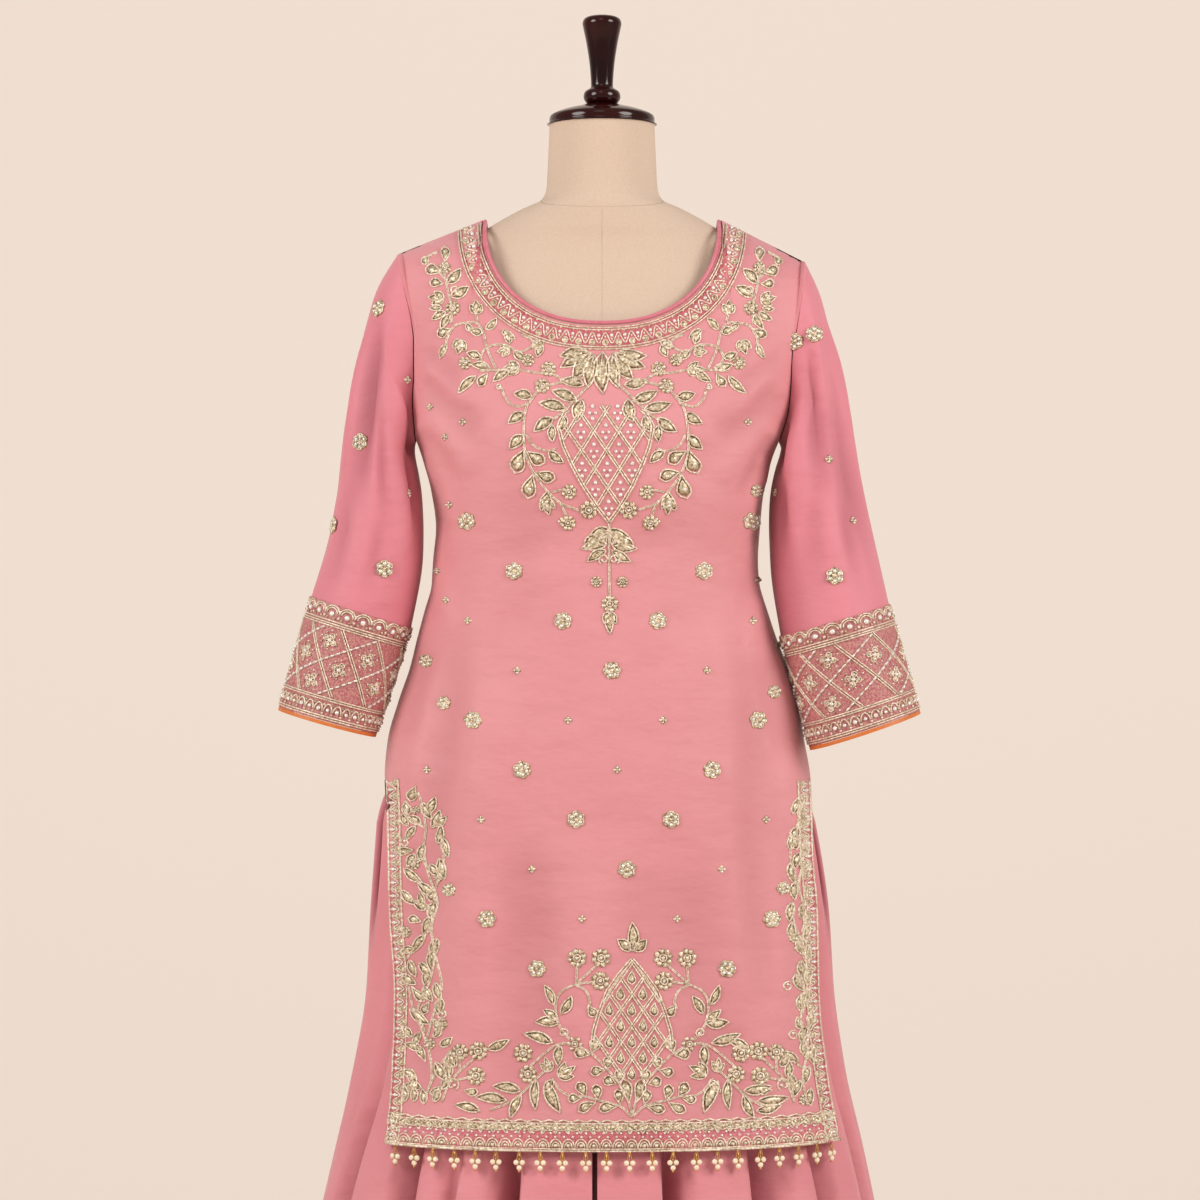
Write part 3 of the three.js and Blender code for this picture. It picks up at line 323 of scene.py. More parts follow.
def kameez_rows(side, folds, columns, yoke, body):
    s = np.linspace(-1, 1, columns)
    if side > 0:
        s = s[::-1]
    share = np.linspace(0, 1, yoke)[:, None]
    upper = yoke_point(s[None, :] + 0 * share, share + 0 * s[None, :], side)
    heights = np.linspace(ARMPIT_Z, HEM_Z, body)[1:, None]
    lower = body_point(s[None, :] + 0 * heights, heights + 0 * s[None, :], side)
    rows = np.concatenate([upper, lower])
    rows[..., 1] = side * np.maximum(side * rows[..., 1], 0.2)
    edge = np.minimum(1 - np.abs(s)[None, :], 0.08) / 0.08
    top = np.minimum(np.arange(len(rows))[:, None] / 10, 1)
    height = FOLD_STRENGTH * creases(folds, rows[..., 0], rows[..., 2]) * edge * top
    # The troughs of the folds also get painted shade: their cloth is darkened by how far they sink.
    return rows + outward(rows) * height[..., None], -height / 55


# ------------------------------------------------------------------ meshes
def make_object(name, points, faces, material, smooth=True):
    mesh = bpy.data.meshes.new(name)
    mesh.from_pydata((np.asarray(points) * 0.001).tolist(), [], faces)
    mesh.update()
    if smooth:
        mesh.polygons.foreach_set("use_smooth", [True] * len(mesh.polygons))
    piece = bpy.data.objects.new(name, mesh)
    bpy.context.scene.collection.objects.link(piece)
    mesh.materials.append(material)
    return piece


def grid_faces(rows, columns, wraps=False, start=0, flip=False):
    steps = columns if wraps else columns - 1
    i, j = np.meshgrid(np.arange(rows - 1), np.arange(steps), indexing="ij")
    next_j = (j + 1) % columns
    quads = np.stack([i * columns + j, (i + 1) * columns + j, (i + 1) * columns + next_j,
                      i * columns + next_j], -1).reshape(-1, 4) + start
    return quads[:, ::-1] if flip else quads


def wall(name, rows, material, wraps=False, thick=WALL, keep=None, painted_shade=None):
    """Cloth as a thin closed wall: the rows are its outer face. The optional painted shade, one value for each point,
    darkens the cloth's colour where its folds and hollows lie in shade.
    """
    inner = rows - outward(rows, wraps) * thick
    if keep is not None:
        inner[..., 1] = keep * np.maximum(keep * inner[..., 1], 0.2)
    height, columns = rows.shape[:2]
    count = height * columns
    faces = [grid_faces(height, columns, wraps), grid_faces(height, columns, wraps, count, True)]
    j = np.arange(columns if wraps else columns - 1)
    next_j = (j + 1) % columns
    foot = (height - 1) * columns
    faces.append(np.stack([j, next_j, count + next_j, count + j], -1))
    faces.append(np.stack([foot + j, count + foot + j, count + foot + next_j, foot + next_j], -1))
    if not wraps:
        i = np.arange(height - 1) * columns
        end = i + columns - 1
        faces.append(np.stack([i, count + i, count + i + columns, i + columns], -1))
        faces.append(np.stack([end, end + columns, count + end + columns, count + end], -1))
    points = np.concatenate([rows.reshape(-1, 3), inner.reshape(-1, 3)])
    piece = make_object(name, points, np.concatenate(faces).tolist(), material)
    piece.data.set_sharp_from_angle(angle=RIM_ANGLE)
    # Painted shade: a value for each point, which the crepe turns into dark crimson.
    if painted_shade is not None:
        painted_shade_layer = piece.data.attributes.new("painted_shade", "FLOAT", "POINT")
        values = np.clip(np.broadcast_to(painted_shade, rows.shape[:2]).ravel(), 0, 1)
        painted_shade_layer.data.foreach_set("value", np.concatenate([values, values]).astype(np.float32))
    return piece


# ------------------------------------------------------------------ materials
def shader(name, color, roughness, **sockets):
    material = bpy.data.materials.new(name)
    material.use_nodes = True
    nodes = material.node_tree.nodes
    principled = nodes["Principled BSDF"]
    principled.inputs["Base Color"].default_value = (*color, 1)
    principled.inputs["Roughness"].default_value = roughness
    for key, value in sockets.items():
        principled.inputs[key.replace("_", " ")].default_value = value
    return material, principled


def add_variation(material, principled, color, second, scale, detail=4, low=0.35, high=0.65):
    """Two close colours, mixed by noise at one scale."""
    tree = material.node_tree
    place = tree.nodes.new("ShaderNodeTexCoord")
    noise = tree.nodes.new("ShaderNodeTexNoise")
    noise.inputs["Scale"].default_value = scale
    noise.inputs["Detail"].default_value = detail
    ramp = tree.nodes.new("ShaderNodeValToRGB")
    ramp.color_ramp.elements[0].position = low
    ramp.color_ramp.elements[0].color = (*color, 1)
    ramp.color_ramp.elements[1].position = high
    ramp.color_ramp.elements[1].color = (*second, 1)
    tree.links.new(place.outputs["Object"], noise.inputs["Vector"])
    tree.links.new(noise.outputs["Fac"], ramp.inputs["Fac"])
    tree.links.new(ramp.outputs["Color"], principled.inputs["Base Color"])
    return place


def add_bump(material, principled, scale, strength, distance=0.0002, kind="noise", place=None):
    tree = material.node_tree
    place = place or tree.nodes.new("ShaderNodeTexCoord")
    if kind == "noise":
        texture = tree.nodes.new("ShaderNodeTexNoise")
        texture.inputs["Scale"].default_value = scale
        texture.inputs["Detail"].default_value = 6
        value = texture.outputs["Fac"]
        tree.links.new(place.outputs["Object"], texture.inputs["Vector"])
    else:
        parts = []
        for direction in ("X", "Z"):
            texture = tree.nodes.new("ShaderNodeTexWave")
            texture.bands_direction = direction
            texture.inputs["Scale"].default_value = scale
            texture.inputs["Distortion"].default_value = 1.5
            texture.inputs["Detail"].default_value = 2
            tree.links.new(place.outputs["Object"], texture.inputs["Vector"])
            parts.append(texture.outputs["Fac"])
        join = tree.nodes.new("ShaderNodeMath")
        join.operation = "MULTIPLY"
        tree.links.new(parts[0], join.inputs[0])
        tree.links.new(parts[1], join.inputs[1])
        value = join.outputs[0]
    node = tree.nodes.new("ShaderNodeBump")
    node.inputs["Strength"].default_value = strength
    node.inputs["Distance"].default_value = distance
    tree.links.new(value, node.inputs["Height"])
    tree.links.new(node.outputs["Normal"], principled.inputs["Normal"])


def crepe(name, color, second, painted_shade_color=(0.20, 0.012, 0.03)):
    """Crepe with painted shade: its colour turns dark crimson down in its folds and hollows. It has a fine weave and
    soft puckers.
    """
    material, principled = shader(name, color, 0.58, Sheen_Weight=0.35, Sheen_Roughness=0.4)
    principled.inputs["Sheen Tint"].default_value = (1.0, 0.8, 0.82, 1)
    principled.inputs["Specular IOR Level"].default_value = 0.35
    place = add_variation(material, principled, color, second, 9)
    tree = material.node_tree
    # Painted shade: the cloth's colour is mixed towards dark crimson by the painted shade attribute of each point.
    depth = tree.nodes.new("ShaderNodeAttribute")
    depth.attribute_name = "painted_shade"
    blend = tree.nodes.new("ShaderNodeMix")
    blend.data_type = "RGBA"
    blend.inputs["B"].default_value = (*painted_shade_color, 1)
    cloth = principled.inputs["Base Color"].links[0].from_socket
    tree.links.new(depth.outputs["Fac"], blend.inputs["Factor"])
    tree.links.new(cloth, blend.inputs["A"])
    tree.links.new(blend.outputs["Result"], principled.inputs["Base Color"])
    add_bump(material, principled, 900, 0.25, 0.0002, "weave", place)
    weave = principled.inputs["Normal"].links[0].from_node
    stretch = tree.nodes.new("ShaderNodeMapping")
    stretch.inputs["Scale"].default_value = (0.7, 0.7, 1.5)
    puckers = tree.nodes.new("ShaderNodeTexNoise")
    puckers.inputs["Scale"].default_value = 24
    puckers.inputs["Detail"].default_value = 3
    soft = tree.nodes.new("ShaderNodeBump")
    soft.inputs["Strength"].default_value = 0.55
    soft.inputs["Distance"].default_value = 0.008
    tree.links.new(place.outputs["Object"], stretch.inputs["Vector"])
    tree.links.new(stretch.outputs["Vector"], puckers.inputs["Vector"])
    tree.links.new(puckers.outputs["Fac"], soft.inputs["Height"])
    tree.links.new(soft.outputs["Normal"], weave.inputs["Normal"])
    return material


def metal_thread(name, color, second, metallic, roughness, scale=1500):
    material, principled = shader(name, color, roughness, Metallic=metallic)
    place = add_variation(material, principled, color, second, 400)
    add_bump(material, principled, scale, 0.6, 0.0004, "noise", place)
    return material


def plain(name, color, second, roughness, scale, bump_strength=0.1, **sockets):
    material, principled = shader(name, color, roughness, **sockets)
    place = add_variation(material, principled, color, second, scale)
    add_bump(material, principled, scale * 4, bump_strength, 0.0002, "noise", place)
    return material


PINK = crepe("pink_crepe", (0.70, 0.285, 0.31), (0.66, 0.255, 0.28))
SLEEVE_PINK = crepe("sleeve_crepe", (0.70, 0.235, 0.285), (0.66, 0.21, 0.26))
SHARARA_PINK = crepe("sharara_crepe", (0.69, 0.25, 0.285), (0.65, 0.225, 0.26))
CUFF_ROSE = plain("cuff_rose", (0.38, 0.075, 0.11), (0.55, 0.28, 0.23), 0.6, 520, 0.8)
CRIMSON = plain("band_ground", (0.50, 0.085, 0.13), (0.60, 0.22, 0.22), 0.5, 420, 0.5)
PIPING = plain("piping_satin", (0.66, 0.19, 0.25), (0.60, 0.16, 0.21), 0.42, 200)
ORANGE = plain("orange_binding", (0.66, 0.19, 0.035), (0.58, 0.15, 0.03), 0.5, 300, 0.2)
GOLD = metal_thread("gold_cord", (0.97, 0.86, 0.72), (0.52, 0.38, 0.25), 0.25, 0.38)
FILL = metal_thread("gold_fill", (0.90, 0.78, 0.57), (0.26, 0.18, 0.08), 0.35, 0.34, 900)
STONE = plain("stones", (0.96, 0.94, 0.90), (0.70, 0.64, 0.56), 0.12, 500, 0.0, Metallic=0.2)
PEARL = plain("pearls", (0.90, 0.80, 0.62), (0.84, 0.70, 0.50), 0.2, 200, 0.0, Coat_Weight=0.5)
BRASS = plain("drop_brass", (0.72, 0.42, 0.13), (0.58, 0.30, 0.08), 0.3, 600, 0.1, Metallic=0.7)
COTTON = plain("form_cotton_cloth", (0.635, 0.495, 0.39), (0.60, 0.46, 0.355), 0.9, 500, 0.25)
LACQUER = plain("dark_lacquered_wood", (0.030, 0.004, 0.003), (0.012, 0.002, 0.002), 0.12, 20, 0.0,
                Specular_IOR_Level=0.32)
METAL = plain("stand_paint", (0.03, 0.022, 0.022), (0.02, 0.015, 0.015), 0.35, 60, 0.05)


def finish_cad():
    looks = {"stand_pole": METAL, "stand_foot": METAL}
    for name, material in looks.items():
        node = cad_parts[name]
        node.data.materials.clear()
        node.data.materials.append(material)


def declare(piece, slot, *nodes):
    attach(piece, "root")
    if nodes:
        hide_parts(*nodes)


# ------------------------------------------------------------------ cloth pieces
def area_of(rows, wraps=False):
    """The area of one face of a grid, in square metres."""
    if wraps:
        rows = np.concatenate([rows, rows[:, :1]], 1)
    a, b = rows[1:, :-1] - rows[:-1, :-1], rows[:-1, 1:] - rows[:-1, :-1]
    return float(np.linalg.norm(np.cross(a, b), axis=-1).sum()) * 1e-6


def make_kameez():
    front, front_painted_shade = kameez_rows(-1, FRONT_FOLDS, 131, 55, 121)
    back, back_painted_shade = kameez_rows(1, BACK_FOLDS, 101, 41, 101)
    front_piece = wall("kameez_front_panel", front, PINK, keep=-1, painted_shade=front_painted_shade)
    back_piece = wall("kameez_back_panel", back, PINK, keep=1, painted_shade=back_painted_shade)
    declare(front_piece, "pink_crepe", "kameez_front")
    declare(back_piece, "pink_crepe", "kameez_back")
    round(area_of(front), 3)
    round(area_of(back), 3)
    return front, back


def sleeve_ring(section, turns, swell):
    west_x, west_z, east_x, east_z, depth, middle_y = section
    half_x, half_z = (east_x - west_x) / 2, (east_z - west_z) / 2
    across = np.sin(np.radians(turns)) * (1 + swell / math.hypot(half_x, half_z))
    y = middle_y - np.cos(np.radians(turns)) * (depth + swell)
    return stack(west_x + half_x + half_x * across, y, west_z + half_z + half_z * across)


def sleeve_turns(columns):
    return -90 + 360 / columns * np.arange(columns)


def sleeve_surface(at, columns, height):
    """Points down a sleeve from the armhole to the cuff's top."""
    turns = sleeve_turns(columns)
    in_front = turns <= 90
    step = np.where(in_front, (turns + 90) / 180, (270 - turns) / 180)
    if at > 0:
        step = 1 - step
    armhole = np.where(in_front[:, None], armhole_point(at, step, -1), armhole_point(at, step, 1))
    knots = np.stack([armhole] + [sleeve_ring(row, turns, 0 * turns) for row in SLEEVE[at]])
    away = knots[1] - knots[0]
    away[:, 0] += 14 * at
    knots[0] += away / np.linalg.norm(away, axis=-1, keepdims=True) * 1.2
    share = np.linspace(0, 1, height)
    place = share * (len(knots) - 1)
    k = np.clip(place.astype(int), 0, len(knots) - 2)
    t = (place - k)[:, None, None]
    before, after = knots[np.maximum(k - 1, 0)], knots[np.minimum(k + 2, len(knots) - 1)]
    a, b = knots[k], knots[k + 1]
    rows = 0.5 * (2 * a + (b - before) * t + (2 * before - 5 * a + 4 * b - after) * t**2
                  + (3 * a - before - 3 * b + after) * t**3)
    swell = np.zeros((height, columns))
    for turn, start, end, width, depth, drift in SLEEVE_FOLDS[at]:
        along = 2 * (share - start) / (end - start) - 1
        middle = turn + drift * (share - start)[:, None]
        aside = (turns[None, :] - middle + 540) % 360 - 180
        swell += SLEEVE_STRENGTH * depth * bump(aside / (2 * width)) * bump(along)[:, None]
    inner_edge = -90 if at > 0 else 90
    # Painted shade at the sleeve's inner edge, where the body shades it, and in the troughs of its folds.
    shade = INNER_SHADE[at] * bump((turns - inner_edge) / INNER_REACH[at])[None, :] * np.minimum(share * 3, 1)[:, None]
    return rows + outward(rows, True) * swell[..., None], shade - swell / 24


def cuff_surface(at, columns, height, proud=0.7, beyond=1.0, start=0.0):
    turns = sleeve_turns(columns)
    top = sleeve_ring(SLEEVE[at][-1], turns, 0 * turns)
    foot = sleeve_ring(CUFF_FOOT[at], turns, 0 * turns)
    share = np.linspace(start, beyond, height)[:, None, None]
    rows = mix(top[None], foot[None], share)
    return rows + outward(rows, True) * proud


def make_sleeves():
    sleeves = {}
    for at, owner in ((-1, "right"), (1, "left")):
        rows, painted_shade = sleeve_surface(at, 110, 90)
        sleeves[at] = rows
        piece = wall("sleeve_cloth_" + owner, rows, SLEEVE_PINK, True, painted_shade=painted_shade)
        declare(piece, "pink_crepe", "sleeve_" + owner)
        round(area_of(rows, True), 3)
        cuff = cuff_surface(at, 140, 20)
        cuff_piece = wall("cuff_cloth_" + owner, cuff, CUFF_ROSE, True)
        declare(cuff_piece, "cuff_gold", "cuff_" + owner)
        round(area_of(cuff, True), 3)
        binding = cuff_surface(at, 140, 5, 0.5, 1.036, 1.003)
        binding_piece = wall("cuff_edge_" + owner, binding, ORANGE, True, 1.8)
        declare(binding_piece, "orange_binding", "cuff_binding_" + owner)
    return sleeves


def leg_rows(at, columns, height):
    turns = np.linspace(0, 180, columns)[None, :]
    if at < 0:
        turns = turns[:, ::-1]
    z = np.concatenate([np.linspace(1037.7, 560, height // 2),
                        np.linspace(560, SHARARA_HEM_Z, height - height // 2 + 1)[1:]])[:, None]
    edge = between(SHARARA, "left" if at < 0 else "right", z)
    reach = np.where(turns < 90, between(SHARARA, "front", z), between(SHARARA, "back", z))
    angle = np.radians(turns)
    x = (edge - LEG_DIVIDE_X) * bent(np.sin(angle), 2.2)
    y = -reach * bent(np.cos(angle), 2.2)
    swell = between(SHARARA, "swell_left" if at < 0 else "swell_right", z)
    opening = np.clip((590 - z) / 150, 0, 1)
    opening = mix(0.12, 1, opening**2 * (3 - 2 * opening))
    groove = bump((z - 790) / 105)
    fall = np.clip((700 - z) / 670, 0, 1)
    height_of = swell * bump((turns - 90) / 17)
    wedge = groove * bump((turns - GROOVE_TURN) / 4.5)
    height_of = height_of - GROOVE_DEPTH[at] * wedge
    # Painted shade in the groove beside the slit; below, each pleat's trough gets painted shade too.
    painted_shade = 1.3 * wedge + 0 * z
    for turn, width, depth in PLEATS[at]:
        wander = 1.3 * np.sin(z / 97 + turn) * fall
        aside = (turns - turn - wander) / width
        height_of = height_of - PLEAT_DEPTH * depth * opening * bump(aside) ** 0.7
        # painted shade in the pleat's trough
        painted_shade = np.maximum(painted_shade, 0.042 * depth * opening * bump(aside / 0.85))
        height_of = height_of + 0.25 * depth * opening * (bump(aside / 2 + 0.8) + bump(aside / 2 - 0.8))
    for k, turn in enumerate(np.arange(6, 178, 8.7)):
        ripple = 2.2 * np.sin(z / (61 + 7 * (k % 5)) + 2 * k)
        height_of = height_of + ripple * fall * bump((turns - turn) / 4.2)
    radius = np.hypot(x, y)
    scale = 1 + height_of / radius
    x, y = x * scale, y * scale
    apart = np.where(z < CROTCH_Z, 2.5, 0.25)
    ends = (np.abs(turns - 90) > 89.9)
    x = np.where(ends, at * apart, x)
    return stack(LEG_DIVIDE_X + x, y, z), painted_shade


def make_waistband():
    """The elastic band that holds the sharara up, drawn into fine gathers."""
    angle = np.linspace(0, 2 * np.pi, 241)[None, :-1]
    z = np.linspace(WAISTBAND_TOP_Z, WAISTBAND_FOOT_Z, 9)[:, None]
    west, east, front, back = WAISTBAND
    x = (west + east) / 2 + (east - west) / 2 * bent(np.sin(angle), BODY_ROUND)
    y = -np.where(np.cos(angle) > 0, front, back) * bent(np.cos(angle), BODY_ROUND)
    scale = 1 - 0.005 * (1 + np.sin(48 * angle))
    rows = stack(x * scale, y * scale, z)
    piece = wall("sharara_waist_elastic", rows, SHARARA_PINK, True)
    declare(piece, "sharara_crepe", "sharara_waistband")
    round(area_of(rows, True), 4)


def inner_rows(at, columns, height):
    z = np.linspace(740, SHARARA_HEM_Z, height)[:, None]
    front, back = between(SHARARA, "front", z) - 14, between(SHARARA, "back", z) - 14
    fall = (CROTCH_Z - z) / (CROTCH_Z - SHARARA_HEM_Z)
    share = np.linspace(0, 1, columns)[None, :]
    y = mix(-front, back, share) if at < 0 else mix(back, -front, share)
    middle = np.sin(np.pi * share)
    bow = -(13 + 30 * fall) * np.maximum(middle, 0) ** 0.7
    ripple = 5 * fall * np.sin(4 * np.pi * share) * middle
    return stack(LEG_DIVIDE_X + bow + ripple + at * (1.3 + 6 * fall), y, z)


def make_sharara():
    for at, owner in ((-1, "right"), (1, "left")):
        rows, painted_shade = leg_rows(at, 241, 84)
        piece = wall("sharara_leg_" + owner, rows, SHARARA_PINK, painted_shade=painted_shade)
        declare(piece, "sharara_crepe", f"sharara_{owner}_outer")
        round(area_of(rows), 3)
        inner = inner_rows(at, 41, 60)
        inner_piece = wall("sharara_kali_" + owner, inner, SHARARA_PINK)
        declare(inner_piece, "sharara_crepe", f"sharara_{owner}_inner")
        round(area_of(inner), 3)


# ------------------------------------------------------------------ embroidery in a flat layout
class Layout:
    """Raised work laid out flat: x across, z up, h above the cloth."""

    def __init__(self):
        self.points = []
        self.faces = []
        self.count = 0

    def add(self, points, faces):
        self.points.append(np.asarray(points, float))
        self.faces.append([[self.count + k for k in face] for face in faces])
        self.count += len(points)

    def cord(self, path, width=1.1, height=1.2, closed=False):
        """A couched cord of that half width along a path."""
        path = np.asarray(path, float)
        if len(path) < 2:
            return
        if closed:
            along = np.roll(path, -1, 0) - np.roll(path, 1, 0)
        else:
            along = np.gradient(path, axis=0)
        along /= np.maximum(np.linalg.norm(along, axis=1, keepdims=True), 1e-9)
        across = np.stack([along[:, 1], -along[:, 0]], 1)
        section = [(-1.0, -0.2), (-0.62, 0.8), (0.62, 0.8), (1.0, -0.2)]
        rings = []
        for sideways, up in section:
            flat = path + across * sideways * width
            rings.append(np.column_stack([flat, np.full(len(path), up * height)]))
        points = np.stack(rings, 1).reshape(-1, 3)
        count = len(path)
        faces = []
        for i in range(count if closed else count - 1):
            n = (i + 1) % count
            for k in range(4):
                m = (k + 1) % 4
                faces.append([i * 4 + k, i * 4 + m, n * 4 + m, n * 4 + k])
        if not closed:
            faces.append([3, 2, 1, 0])
            last = (count - 1) * 4
            faces.append([last, last + 1, last + 2, last + 3])
        self.add(points, faces)

    def pad(self, outline, height=1.4, low=0.1):
        """A raised pad with a closed outline and one crown."""
        outline = np.asarray(outline, float)
        middle = outline.mean(0)
        inner = mix(middle, outline, 0.55)
        n = len(outline)
        points = np.concatenate([
            np.column_stack([outline, np.full(n, low)]),
            np.column_stack([inner, np.full(n, height)]),
            [[*middle, height * 1.1]],
        ])
        faces = []
        for k in range(n):
            m = (k + 1) % n
            faces.append([k, m, n + m, n + k])
            faces.append([n + k, n + m, 2 * n])
        faces.append(list(range(n))[::-1])
        self.add(points, faces)

    def bead(self, x, z, radius, height=None, sides=8):
        """A round bead, stone or sequin that sits on the cloth."""
        height = height or radius * 1.2
        turn = 2 * np.pi * np.arange(sides) / sides
        rings = []
        for share, up in ((1.0, 0.0), (0.86, 0.55), (0.45, 0.92)):
            rings.append(np.column_stack([x + radius * share * np.cos(turn),
                                          z + radius * share * np.sin(turn),
                                          np.full(sides, up * height)]))
        points = np.concatenate(rings + [[[x, z, height]]])
        faces = [list(range(sides))[::-1]]
        for ring in (0, 1):
            for k in range(sides):
                m = (k + 1) % sides
                faces.append([ring * sides + k, ring * sides + m,
                              (ring + 1) * sides + m, (ring + 1) * sides + k])
        for k in range(sides):
            faces.append([2 * sides + k, 2 * sides + (k + 1) % sides, 3 * sides])
        self.add(points, faces)

    def wrapped(self, name, material, wrap, slot="beadwork"):
        """Makes the piece: `wrap` turns flat points into places on a panel."""
        if not self.points:
            return None
        points = np.concatenate(self.points)
        faces = [face for group in self.faces for face in group]
        piece = make_object(name, wrap(points), faces, material)
        declare(piece, slot)
        return piece


class Work:
    """The kinds of raised work on one panel: cords, filled leaves, stones, beads and the ground."""

    def __init__(self):
        self.gold = Layout()
        self.fill = Layout()
        self.stone = Layout()
        self.pearl = Layout()
        self.ground = Layout()

    def make(self, prefix, wrap):
        self.ground.wrapped(prefix + "_band_ground", CRIMSON, wrap)
        self.gold.wrapped(prefix + "_gold_cords", GOLD, wrap)
        self.fill.wrapped(prefix + "_gold_leaves", FILL, wrap)
        self.stone.wrapped(prefix + "_stones", STONE, wrap)
        self.pearl.wrapped(prefix + "_beads", PEARL, wrap)

    @staticmethod
    def turned(points, x, z, angle):
        """Local points, +z along the motif, turned `angle` degrees from straight up towards +x."""
        c, s = math.cos(math.radians(angle)), math.sin(math.radians(angle))
        points = np.asarray(points, float)
        return np.column_stack([x + points[:, 0] * c + points[:, 1] * s,
                                z - points[:, 0] * s + points[:, 1] * c])

    def leaf(self, x, z, angle, length, width, rounded=False, vein=True):
        """A leaf from its base: a raised fill in a pale corded outline. Rounded ones are drops."""
        t = np.linspace(0, 1, 8)
        if rounded:
            half = width / 2 * np.sin(np.pi * t**1.7) ** 0.75
        else:
            half = width / 2 * np.sin(np.pi * t**0.85) ** 0.9
        spine = np.column_stack([0.05 * length * np.sin(np.pi * t), t * length])
        left = spine - np.column_stack([half, 0 * half])
        right = spine + np.column_stack([half, 0 * half])
        outline = self.turned(np.concatenate([left[:-1], right[:0:-1]]), x, z, angle)
        self.fill.pad(mix(outline.mean(0), outline, 0.84), 1.5)
        self.gold.cord(outline, 0.62 + 0.012 * length, 1.5, closed=True)
        if rounded:
            self.stone.bead(*self.turned([[0, 0.62 * length]], x, z, angle)[0], 0.16 * width, 2.4, 6)
        elif vein:
            self.gold.cord(self.turned(spine[:-2], x, z, angle), 0.42, 2.2)

    def flower(self, x, z, radius, petals=6, angle=0.0):
        """A scattered stone flower: outlined petals round a bead."""
        for k in range(petals):
            turn = math.radians(angle + 360 / petals * k)
            px, pz = x + 0.60 * radius * math.sin(turn), z + 0.60 * radius * math.cos(turn)
            size = 0.36 * radius
            ring = [(px + size * math.sin(a), pz + size * math.cos(a))
                    for a in np.linspace(0, 2 * np.pi, 8)[:-1]]
            self.fill.cord(ring, 0.14 * radius, 1.6, closed=True)
            self.stone.bead(px, pz, 0.25 * radius, 1.9, 6)
        self.fill.bead(x, z, 0.28 * radius, 2.2, 6)
        self.pearl.bead(x, z, 0.15 * radius, 2.9, 6)

    def blossom(self, x, z, radius, petals=8):
        """A round bead flower among leaves."""
        for k in range(petals):
            turn = 2 * math.pi * (k + 0.07 * radius) / petals
            px, pz = x + 0.70 * radius * math.sin(turn), z + 0.70 * radius * math.cos(turn)
            self.fill.bead(px, pz, 0.31 * radius, 1.7, 6)
            (self.stone if k % 2 else self.gold).bead(px, pz, 0.15 * radius, 2.5, 6)
        ring = [(x + 0.36 * radius * math.sin(a), z + 0.36 * radius * math.cos(a))
                for a in np.linspace(0, 2 * np.pi, 8)[:-1]]
        self.gold.cord(ring, 0.10 * radius, 2.0, closed=True)
        self.fill.bead(x, z, 0.26 * radius, 2.0, 6)
        self.stone.bead(x, z, 0.16 * radius, 3.0, 6)

    def bud(self, x, z, angle, length, width):
        """A bud of three hooded petals on a short base."""
        for lean, share in ((-32, 0.8), (32, 0.8), (0, 1.0)):
            self.leaf(x, z, angle + lean, share * length, 0.5 * width, vein=False)
        self.stone.bead(*self.turned([[0, 0.45 * length]], x, z, angle)[0], 0.12 * width, 3.0, 6)

    def sprig(self, x, z, size):
        """A small scattered motif: four stones round a gold bead."""
        for angle in (0, 90, 180, 270):
            turn = math.radians(angle)
            px, pz = x + 0.5 * size * math.sin(turn), z + 0.5 * size * math.cos(turn)
            self.fill.bead(px, pz, 0.42 * size, 1.3, 6)
            self.stone.bead(px, pz, 0.24 * size, 1.8, 6)
        self.gold.bead(x, z, 0.26 * size, 2.0, 6)

    def stem(self, path, width=0.8):
        """A stem of two cords side by side."""
        line = smooth_path(path, 3.0)
        self.gold.cord(offset(line, 0.75 * width), 0.7 * width, 1.3)
        self.gold.cord(offset(line, -0.75 * width), 0.7 * width, 1.3)
        return line

    def vine(self, path, leaf=14.0, width=6.5, spacing=11.0, angle=42, tip=True, both=True):
        """A stem through the given places with leaves either side and one at its tip."""
        line = self.stem(path)
        steps = np.linalg.norm(np.diff(line, axis=0), axis=1)
        run = np.concatenate([[0], np.cumsum(steps)])
        at, count = spacing * 0.7, 0
        while at < run[-1] - 2:
            k = min(np.searchsorted(run, at), len(line) - 2)
            dx, dz = line[k + 1] - line[max(k - 1, 0)]
            heading = math.degrees(math.atan2(dx, dz))
            size = mix(1.0, 0.75, at / run[-1])
            hands = (1, -1) if both else ((1,) if count % 2 else (-1,))
            for hand in hands:
                self.leaf(*line[k], heading + hand * angle, leaf * size, width * size, count % 3 == 2)
            count += 1
            at += spacing
        if tip:
            dx, dz = line[-1] - line[-3]
            self.leaf(*line[-1], math.degrees(math.atan2(dx, dz)), leaf * 0.9, width * 0.9)

    def curl(self, x, z, angle, radius, hand=1, turns=1.1):
        """A hooked tendril that ends in a small bead."""
        a = np.linspace(0, 2 * np.pi * turns, int(16 * turns))
        r = radius * (1 - 0.62 * a / a[-1])
        line = np.column_stack([hand * (radius - r * np.cos(a)), r * np.sin(a)])
        line = self.turned(line, x, z, angle)
        self.gold.cord(line, 0.95, 1.4)
        self.stone.bead(*line[-1], 1.6, 2.2, 6)


